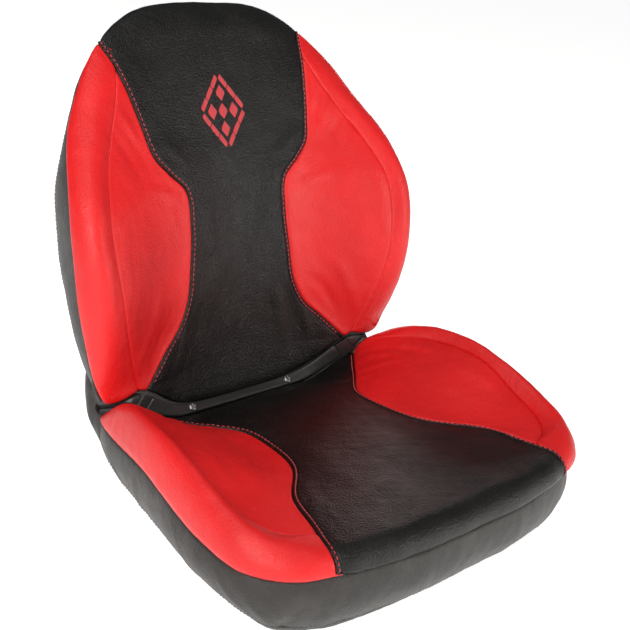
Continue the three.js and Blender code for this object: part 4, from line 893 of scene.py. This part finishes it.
def side_band(prefix, at, end, drops, columns, heart, low_seam_depth, seed, folded, most):
    """The band round a cushion's side: at gives its points, heart lies inside it."""
    name = f"{prefix}_boxing"
    angle, drop = np.meshgrid(np.linspace(-end, end, columns + 1), drops, indexing="ij")
    p = at(angle, drop)
    n = grid_normals(p, heart)
    d = edge_distances(p)
    height = 0.5 * lumps(p) + 0.16 * ripples(p) + plain_seam(d["left"], 1.6, 1.8, 0.8)
    height = height + plain_seam(d["right"], low_seam_depth, 1.8, 0.8)
    height = height + puckers(d["left"], d["rear"], seed, 14.0, 0.3, 8.0)
    height = height + puckers(d["right"], d["rear"], seed + 1, 12.0, 0.4, 9.0)
    if folded:
        height = height + band_folds(angle, drop)
    p = clear_of_foam(p + n * height[..., None], n, gap=0.5, most=most)
    sheet_grids[name] = (p, n)
    add_grid(f"{name}_cover", p, n, BOXING, [name], allowance=3.0)


seat_heart = np.array([0, SEAT_CENTRE, 60.0])
back_heart = np.array([0, 70.0, BACK_CENTRE])
side_band("seat", seat_side, SEAT_SIDE_END, crowded(26) * HEM_DROP, columns=330, heart=seat_heart,
          low_seam_depth=1.5, seed=31, folded=True, most=1.5)
side_band("back", back_side, BACK_SIDE_END, crowded(22), columns=300, heart=back_heart,
          low_seam_depth=1.2, seed=37, folded=False, most=9.0)


def hem_at(angle, along_hem):
    """The hem, from the side band's seam down to the rim, then turned under the pan."""
    hanging = 0.36
    corner = seat_side(angle, HEM_DROP + (1 - HEM_DROP) * np.clip(along_hem / hanging, 0, 1))
    turned = np.clip((along_hem - hanging) / (1 - hanging), 0, 1)
    under = seat_base_at(angle, HEM_TURN * (1 - 0.7 * is_rear(angle)) * turned, 1.2 * turned)
    blend = smoothstep((along_hem - hanging * 0.8) / (hanging * 0.4))[..., None]
    return corner * (1 - blend) + under * blend


def hem_strip():
    angle, turn = np.meshgrid(np.linspace(-SEAT_SIDE_END, SEAT_SIDE_END, 331), even(18), indexing="ij")
    p = hem_at(angle, turn)
    n = grid_normals(p, seat_heart)
    d = edge_distances(p)
    p = p + n * (plain_seam(d["left"], 1.3, 1.5, 0.5) + puckers(d["left"], d["rear"], 51, 9.0, 0.35, 7.0)
                 + 0.3 * ripples(p))[..., None]
    p[..., 2] = np.maximum(p[..., 2], 0.6)
    add_grid("seat_hem_cover", p, n, BOXING, ["seat_hem_strip"], allowance=1.5)


hem_strip()


def band_stitching():
    """The black rows above the side bands' lower seams."""
    points, faces = [], []
    for name in ("seat_boxing", "back_boxing"):
        path, out = line_in_grid(name, distance=4.0, from_left=False)
        stitch_mesh(path[2:-2], out[2:-2], points, faces, pitch=4.8, length=3.4, radius=0.34)
    make_piece("boxing_stitching", points, faces, BLACK_THREAD, ())


band_stitching()


# ---- the crease
def half_crease(seams, made):
    """The crease edge of one cushion's panels, from the middle to the sitter's left."""
    center, inner, outer = (made[kind][0] for kind in ("center", "inner", "outer"))
    return seams["surface"].point(np.vstack([center[len(center) // 2:], inner[1:], outer[1:]]))


seat_crease = half_crease(seat_seams, seat_patches)
back_crease = half_crease(back_seams, back_patches)
HIP_NOTCH = np.array([213, -4, 117.0])
CREASE_BACK = 7.0


def crease_point(share, t):
    """share runs across the seat from hip (-1) to hip (1), t from the seat's edge (0) to the back's (1)."""
    share, t = np.broadcast_arrays(np.asarray(share, float), np.asarray(t, float))
    a, c = (along(edge, np.abs(share).ravel()).reshape(*share.shape, 3)
            for edge in (seat_crease, back_crease))
    bottom = np.stack([a[..., 0], np.full(share.shape, CREASE_BACK), crease_z(a[..., 0])], -1)
    hip = (np.clip((np.abs(share) - 0.75) / 0.25, 0, 1) ** 2)[..., None]
    bottom = bottom * (1 - hip) + HIP_NOTCH * hip
    control = 2 * bottom - (a + c) / 2
    t = t[..., None]
    p = a * (1 - t) ** 2 + control * 2 * t * (1 - t) + c * t ** 2
    return p * np.where(share < 0, -1, 1)[..., None] ** np.array([1, 0, 0])


def bight():
    """The mesh fabric that lines the crease."""
    share, t = np.meshgrid(np.linspace(-1, 1, 281), even(30), indexing="ij")
    p = crease_point(share, t)
    n = grid_normals(p, np.array([0, 60, 0.0]))
    d = edge_distances(p)
    height = 0.5 * lumps(p) + 0.3 * ripples(p)
    seat_gathers, back_gathers = (puckers(d[edge], d["rear"], seed, 9.0, 0.6, 8.0)
                                  for edge, seed in (("left", 61), ("right", 62)))
    p = clear_of_foam(p + n * (height + (seat_gathers + back_gathers))[..., None], n, gap=0.3, most=2.0)
    add_grid("bight_mesh_fabric", p, n, MESH_FABRIC, ["bight_panel"], allowance=2.0)


bight()


def hip_gusset(side, sign):
    """The sheet that closes a hip between the crease, the side bands and the pan."""
    count = 40
    f = even(count)
    front = seat_side(np.full(count + 1, SEAT_SIDE_END), f)
    rear = back_side(np.full(count + 1, BACK_SIDE_END), f)
    top = crease_point(np.ones(count + 1), f)
    bottom = along(smooth_curve([tuple(front[-1]), (206, 14, 88), (201, 38, 122), tuple(rear[-1])]), f)
    u = f[None, :, None]
    v = f[:, None, None]
    p = coons(top, bottom, front, rear, f) * np.array([sign, 1, 1])
    n = grid_normals(p, np.array([0, 20, 100.0]))
    bulge = 3.0 * np.sin(np.pi * u[..., 0]) * np.sin(np.pi * v[..., 0]) ** 0.7
    pleats = 0.8 * np.sin(14 * u[..., 0] + 3 * v[..., 0]) * np.sin(np.pi * v[..., 0])
    p = clear_of_foam(p + n * (bulge + pleats + 0.2 * ripples(p))[..., None], n, gap=0.3, most=1.5)
    add_grid(f"{side}_hip_gusset_cover", p, n, BOXING, [f"{side}_hip_gusset"], allowance=2.5)


for side, sign in SIDES:
    hip_gusset(side, sign)

# ---- the strip and its screws
STRIP = 2.2                # half its thickness
STRIP_END, STRIP_TAPER = 0.88, 0.12      # shares of the way from the middle to a hip
STRIP_GAP = 1.5            # from its back to the mesh fabric
STRIP_STEP = 2.5           # how far its low edge stands in from the seat's side
strip_width = profile([(0, 17.5), (85, 18.5), (100, 22), (118, 29), (138, 36), (155, 37), (170, 32),
                       (190, 22)])


def strip_row(share):
    """Where the strip's low and high edges lie at one place across the crease."""
    width = float(strip_width(abs(crease_point(share, 0.5)[0])))
    spread = 0.05
    low, high = crease_point(share, spread), crease_point(share, 1 - spread)
    while spread < 0.45 and np.linalg.norm(high - low) > width:
        spread += 0.0025
        low, high = crease_point(share, spread), crease_point(share, 1 - spread)
    across = unit(high - low)
    out = unit(np.array([0, -across[2], across[1]])) * (STRIP + STRIP_GAP)
    return low + out + across * STRIP_STEP, high + out


def bight_strip():
    """The strip: a crowned section carried along the crease and drawn in at both ends."""
    shares = np.linspace(-STRIP_END, STRIP_END, 161)
    rows = np.array([strip_row(s) for s in shares]).reshape(len(shares), 6)
    window = 13
    padded = np.pad(rows, ((window // 2,) * 2, (0, 0)), mode="reflect", reflect_type="odd")
    rows = np.stack([np.convolve(column, np.ones(window) / window, "valid") for column in padded.T], -1)
    rows = rows.reshape(-1, 2, 3)
    low, high = rows[:, 0], rows[:, 1]
    centre, across = (low + high) / 2, high - low
    half = np.linalg.norm(across, axis=1, keepdims=True) / 2
    taper = np.clip((np.abs(shares)[:, None] - STRIP_END + STRIP_TAPER) / STRIP_TAPER, 0, 1)
    half = half * (1 - 0.93 * taper ** 1.9)
    across = unit(across)
    out = unit(np.cross(np.gradient(centre, axis=0), across))
    out *= np.sign(out[:, 2:3])
    s = -np.cos(np.pi * even(22))
    crown = -STRIP + (STRIP + 1.6) * (1 - np.abs(s) ** 5) ** 0.45
    section = [(a, b) for a, b in zip(s, crown)] + [(a, -STRIP) for a in (0.96, 0.5, 0, -0.5, -0.96)]
    rings = np.array([centre + across * half * a + out * b for a, b in section]).transpose(1, 0, 2)
    count = rings.shape[1]
    faces = tube_faces(len(shares), count)
    faces.append(tuple(range(count))[::-1])
    faces.append(tuple(range((len(shares) - 1) * count, len(shares) * count)))
    make_piece("bight_strip_moulding", rings.reshape(-1, 3), faces, STRIP_PLASTIC, ["bight_strip"])


bight_strip()

SCREW_X = 79.0
screw_share = next(s for s in np.linspace(0.2, 0.6, 401) if strip_row(s)[0][0] >= SCREW_X)
screw_low, screw_high = strip_row(screw_share)
screw_seat = (screw_low + screw_high) / 2
screw_axis = unit(np.array([0, screw_low[2] - screw_high[2], screw_high[1] - screw_low[1]]))


def turned(profile_points, sides, relief=None):
    """A lathe round Z: rings of (radius, height), with an optional relief of (x, y) added to the top."""
    rings = []
    angle = 2 * np.pi * np.arange(sides) / sides
    for radius, height in profile_points:
        x, y = radius * np.cos(angle), radius * np.sin(angle)
        z = np.full(sides, float(height))
        if relief is not None:
            z = z + relief(x, y)
        rings.append(np.stack([x, y, z], -1))
    return np.concatenate(rings), tube_faces(len(rings), sides) + [tuple(range(sides))[::-1]]


def onto_axis(points, at, axis):
    """Points laid out round Z, moved to a place with Z turned to an axis square to X."""
    x = unit(np.cross([1, 0, 0], axis))
    return at + points @ np.array([x, np.cross(axis, x), axis])


def cross_recess(x, y):
    """The depth of the cross that the driver goes into."""
    def arm(across, along_arm):
        return smoothstep((1.05 - np.abs(across)) / 0.3) * smoothstep((3.3 - np.abs(along_arm)) / 0.5)
    return -2.2 * np.maximum(arm(x, y), arm(y, x))


def bight_screw(side, sign):
    """A pan head with a cross recess."""
    rim, crown = 5.5, 2.1
    dome = [(rim, -1.2), (rim + 0.15, 0.2), (rim, 1.0)]
    dome += [(rim * math.cos(a), 1.0 + crown * math.sin(a)) for a in np.linspace(0.12, 1.5, 30)]
    dome.append((0.02, 1.0 + crown))
    points, faces = turned(dome, 72, lambda x, y: np.where(np.hypot(x, y) < 4.6, cross_recess(x, y), 0))
    at = (screw_seat + screw_axis * 1.5) * np.array([sign, 1, 1])
    make_piece(f"{side}_bight_screw_head", onto_axis(points, at, screw_axis), [f[::-1] for f in faces],
               SCREW_STEEL, [f"{side}_bight_screw"])


for side, sign in SIDES:
    bight_screw(side, sign)


# ---- the embroidered patch
def emblem():
    """A lozenge of raised checks inside a rim, all laid on the back's centre panel."""
    points, faces = [], []
    grid, _ = sheet_grids["back_center_panel"]
    tree = BVHTree.FromPolygons(grid.reshape(-1, 3).tolist(), grid_faces(*grid.shape[:2]).tolist())
    half_width, half_height, middle, cells = 24.0, 30.0, 421.0, 3

    def on_panel(u, v):
        x = (u - v) * half_width
        z = middle + (u + v - 1) * half_height
        hit, normal, _, _ = tree.ray_cast(Vector((x, -400, z)), Vector((0, 1, 0)))
        if normal.y > 0:
            normal = -normal
        return np.array(hit), np.array(normal)

    def stitched(u0, u1, v0, v1, height):
        steps = 7
        first = len(points)
        for i in range(steps):
            for j in range(steps):
                a, b = i / (steps - 1), j / (steps - 1)
                hit, normal = on_panel(u0 + (u1 - u0) * a, v0 + (v1 - v0) * b)
                inside = 0 < a < 1 and 0 < b < 1
                crown = (math.sin(math.pi * a) * math.sin(math.pi * b)) ** 0.35 if inside else 0
                points.append(hit + normal * (height * crown - 0.1))
        faces.extend((grid_faces(steps, steps) + first).tolist())

    inset = 0.008
    for i in range(cells):
        for j in range(cells):
            if (i + j) % 2 == 0:
                stitched(i / cells + inset, (i + 1) / cells - inset, j / cells + inset,
                         (j + 1) / cells - inset, height=0.9)
    rim, out = 0.16, 0.10
    for side in range(4):
        for k in range(cells):
            a, b = -out + k * (1 + 2 * out) / cells, -out + (k + 1) * (1 + 2 * out) / cells
            near, far = (-out - rim, -out) if side % 2 == 0 else (1 + out, 1 + out + rim)
            if side < 2:
                stitched(a, b, near, far, height=0.8)
            else:
                stitched(near, far, a, b, height=0.8)
    make_piece("back_emblem_embroidery", points, faces, EMBROIDERY, ["back_emblem"])


emblem()


# ---- the rear
def rear_cover():
    """The board behind the back, in rings from its rounded rim to its middle."""
    insets = np.array([0, 0.6, 1.4, 2.6, 5, 10, 18, 30, 45, 65, 90, 120, 150])
    rim_drop = np.array([2.4, 1.0, 0.3, 0, 0, 0, 0, 0, 0, 0, 0, 0, 0])
    sides = 180
    angle = np.linspace(-np.pi, np.pi, sides, endpoint=False)
    rings = []
    for inset, drop in zip(insets, rim_drop):
        start = back_rear_inset(angle) + 3.9
        ring = back_rear_at(angle, np.minimum(start + inset, back_face.radius(angle) * 0.97), 0.0)
        ring[:, 1] += 1.2 * smoothstep(inset / 60) - drop - 0.5
        rings.append(ring + 0.25 * lumps(ring)[:, None] * np.array([0, 1, 0]))
    points = np.concatenate(rings)
    faces = tube_faces(len(rings), sides) + [tuple(range(len(points) - sides, len(points)))]
    make_piece("back_rear_cover_board", points, faces, BOXING, ["back_rear_cover"])


rear_cover()

RIVET_ANGLES = [a for b in (0.75, 1.5, 2.3) for a in (b, -b)]


def push_rivet(number, angle):
    """A rivet head at an angle round the board."""
    a = np.array(angle)
    at = back_rear_at(a, back_rear_inset(a) + 22)
    slope = (back_rear_y(at[2] + 5) - back_rear_y(at[2] - 5)) / 10
    axis = np.array([0, 1, -slope]) / math.hypot(1, slope)
    head = [(7.0, 0.0), (7.0, 0.9), (6.6, 1.4), (5.4, 1.9), (4.0, 2.15), (3.7, 2.0), (3.4, 1.6),
            (2.0, 1.75), (0.02, 1.8)]
    points, faces = turned(head, 40)
    placed = onto_axis(points, at + axis * 0.7, axis)
    make_piece(f"push_rivet_head_{number}", placed, [f[::-1] for f in faces], TRIM_PLASTIC,
               [f"cover_push_rivet_{number}"])


for number, angle in enumerate(RIVET_ANGLES, 1):
    push_rivet(number, angle)


def apron():
    """The flap that closes the gap between the rear board and the pan, round to both hips."""
    u, v = np.meshgrid(np.linspace(-1, 1, 181), even(50), indexing="ij")
    angle = (np.pi - (np.pi - BACK_SIDE_END) * np.abs(u)) * np.where(u < 0, -1, 1)
    top = back_rear_at(angle, back_rear_inset(angle) + 7, 4.0)
    low_edge = smooth_curve([(0, 38, 36), (90, 38, 36), (145, 34, 42), (172, 24, 58), (190, 12, 78)])
    low = along(low_edge, np.abs(u).ravel()).reshape(*u.shape, 3)
    low[..., 0] *= np.where(u < 0, -1, 1)
    p = top * (1 - v)[..., None] + low * v[..., None]
    n = grid_normals(p, np.array([0, -100, 70.0]))
    hanging = (0.9 * np.sin(u * 17) + 0.7 * np.sin(u * 31 + 1)) * v + 3.0 * np.sin(np.pi * v)
    d = edge_distances(p)
    p = p + n * (hanging + plain_seam(d["right"], 0.8, 1.5, 0.4) + 0.3 * ripples(p))[..., None]
    add_grid("rear_apron_cover", p, n, BOXING, ["rear_apron"], allowance=1.6)


apron()

# ---- camera, floor and light
CAMERA_AT = (-917.9, -1058.8, 760.0)
AZIMUTH, ELEVATION, ROLL = -44.444, 22.112, 5.953
LENS, SENSOR = 70.36, 36.0


def camera():
    """The camera looks along its own -Z; ROLL leans its right side up."""
    az, el, roll = (math.radians(v) for v in (AZIMUTH, ELEVATION, ROLL))
    back = Vector((math.sin(az) * math.cos(el), -math.cos(az) * math.cos(el), math.sin(el)))
    right = Vector((math.cos(az), math.sin(az), 0))
    up = back.cross(right)
    right, up = right * math.cos(roll) + up * math.sin(roll), up * math.cos(roll) - right * math.sin(roll)
    data = bpy.data.cameras.new("camera")
    data.lens, data.sensor_width = LENS, SENSOR
    data.clip_start, data.clip_end = 0.05, 50
    eye = bpy.data.objects.new("camera", data)
    turn = Matrix((right, up, back)).transposed().to_4x4()
    eye.matrix_world = Matrix.Translation(Vector(place(CAMERA_AT))) @ turn
    bpy.context.scene.collection.objects.link(eye)
    bpy.context.scene.camera = eye


camera()


def floor():
    """A wide sheet just under the seat, in metres; it belongs to the stage."""
    size, drop = 9.0, -0.0004
    points = [(-size, -size, drop), (size, -size, drop), (size, size, drop), (-size, size, drop)]
    mesh = bpy.data.meshes.new("floor")
    mesh.from_pydata(points, [], [(0, 1, 2, 3)])
    mesh.materials.append(pale_floor("pale floor"))
    plane = bpy.data.objects.new("floor", mesh)
    bpy.context.scene.collection.objects.link(plane)


floor()


def softbox(name, at, target, size, power, colour):
    """A rectangular lamp turned to its target; its local Z points back from it."""
    data = bpy.data.lights.new(name, "AREA")
    data.shape, data.size, data.size_y = "RECTANGLE", *size
    data.energy, data.color = power, colour
    lamp = bpy.data.objects.new(name, data)
    turn = (Vector(at) - Vector(target)).to_track_quat("Z", "Y").to_matrix().to_4x4()
    lamp.matrix_world = Matrix.Translation(Vector(at)) @ turn
    bpy.context.scene.collection.objects.link(lamp)


softbox("key", (-2.1, -1.2, 1.35), (0, 0, 0.25), (1.0, 1.0), 48, (1, 0.97, 0.91))
softbox("front right", (1.3, -2.3, 0.75), (0, 0, 0.3), (0.9, 0.9), 28, (1, 0.97, 0.91))
softbox("rear right", (1.9, 1.7, 0.45), (0, 0, 0.1), (1.3, 0.45), 16, (1, 0.98, 0.95))
softbox("top", (-0.5, -0.5, 2.6), (0, 0, 0.2), (1.2, 1.2), 18, (1, 0.98, 0.95))

world = bpy.data.worlds.new("studio")
world.use_nodes = True
sky = world.node_tree.nodes["Background"]
sky.inputs["Color"].default_value = (1, 1, 1, 1)
sky.inputs["Strength"].default_value = 0.15
bpy.context.scene.world = world
bpy.context.scene.view_settings.view_transform = "Standard"
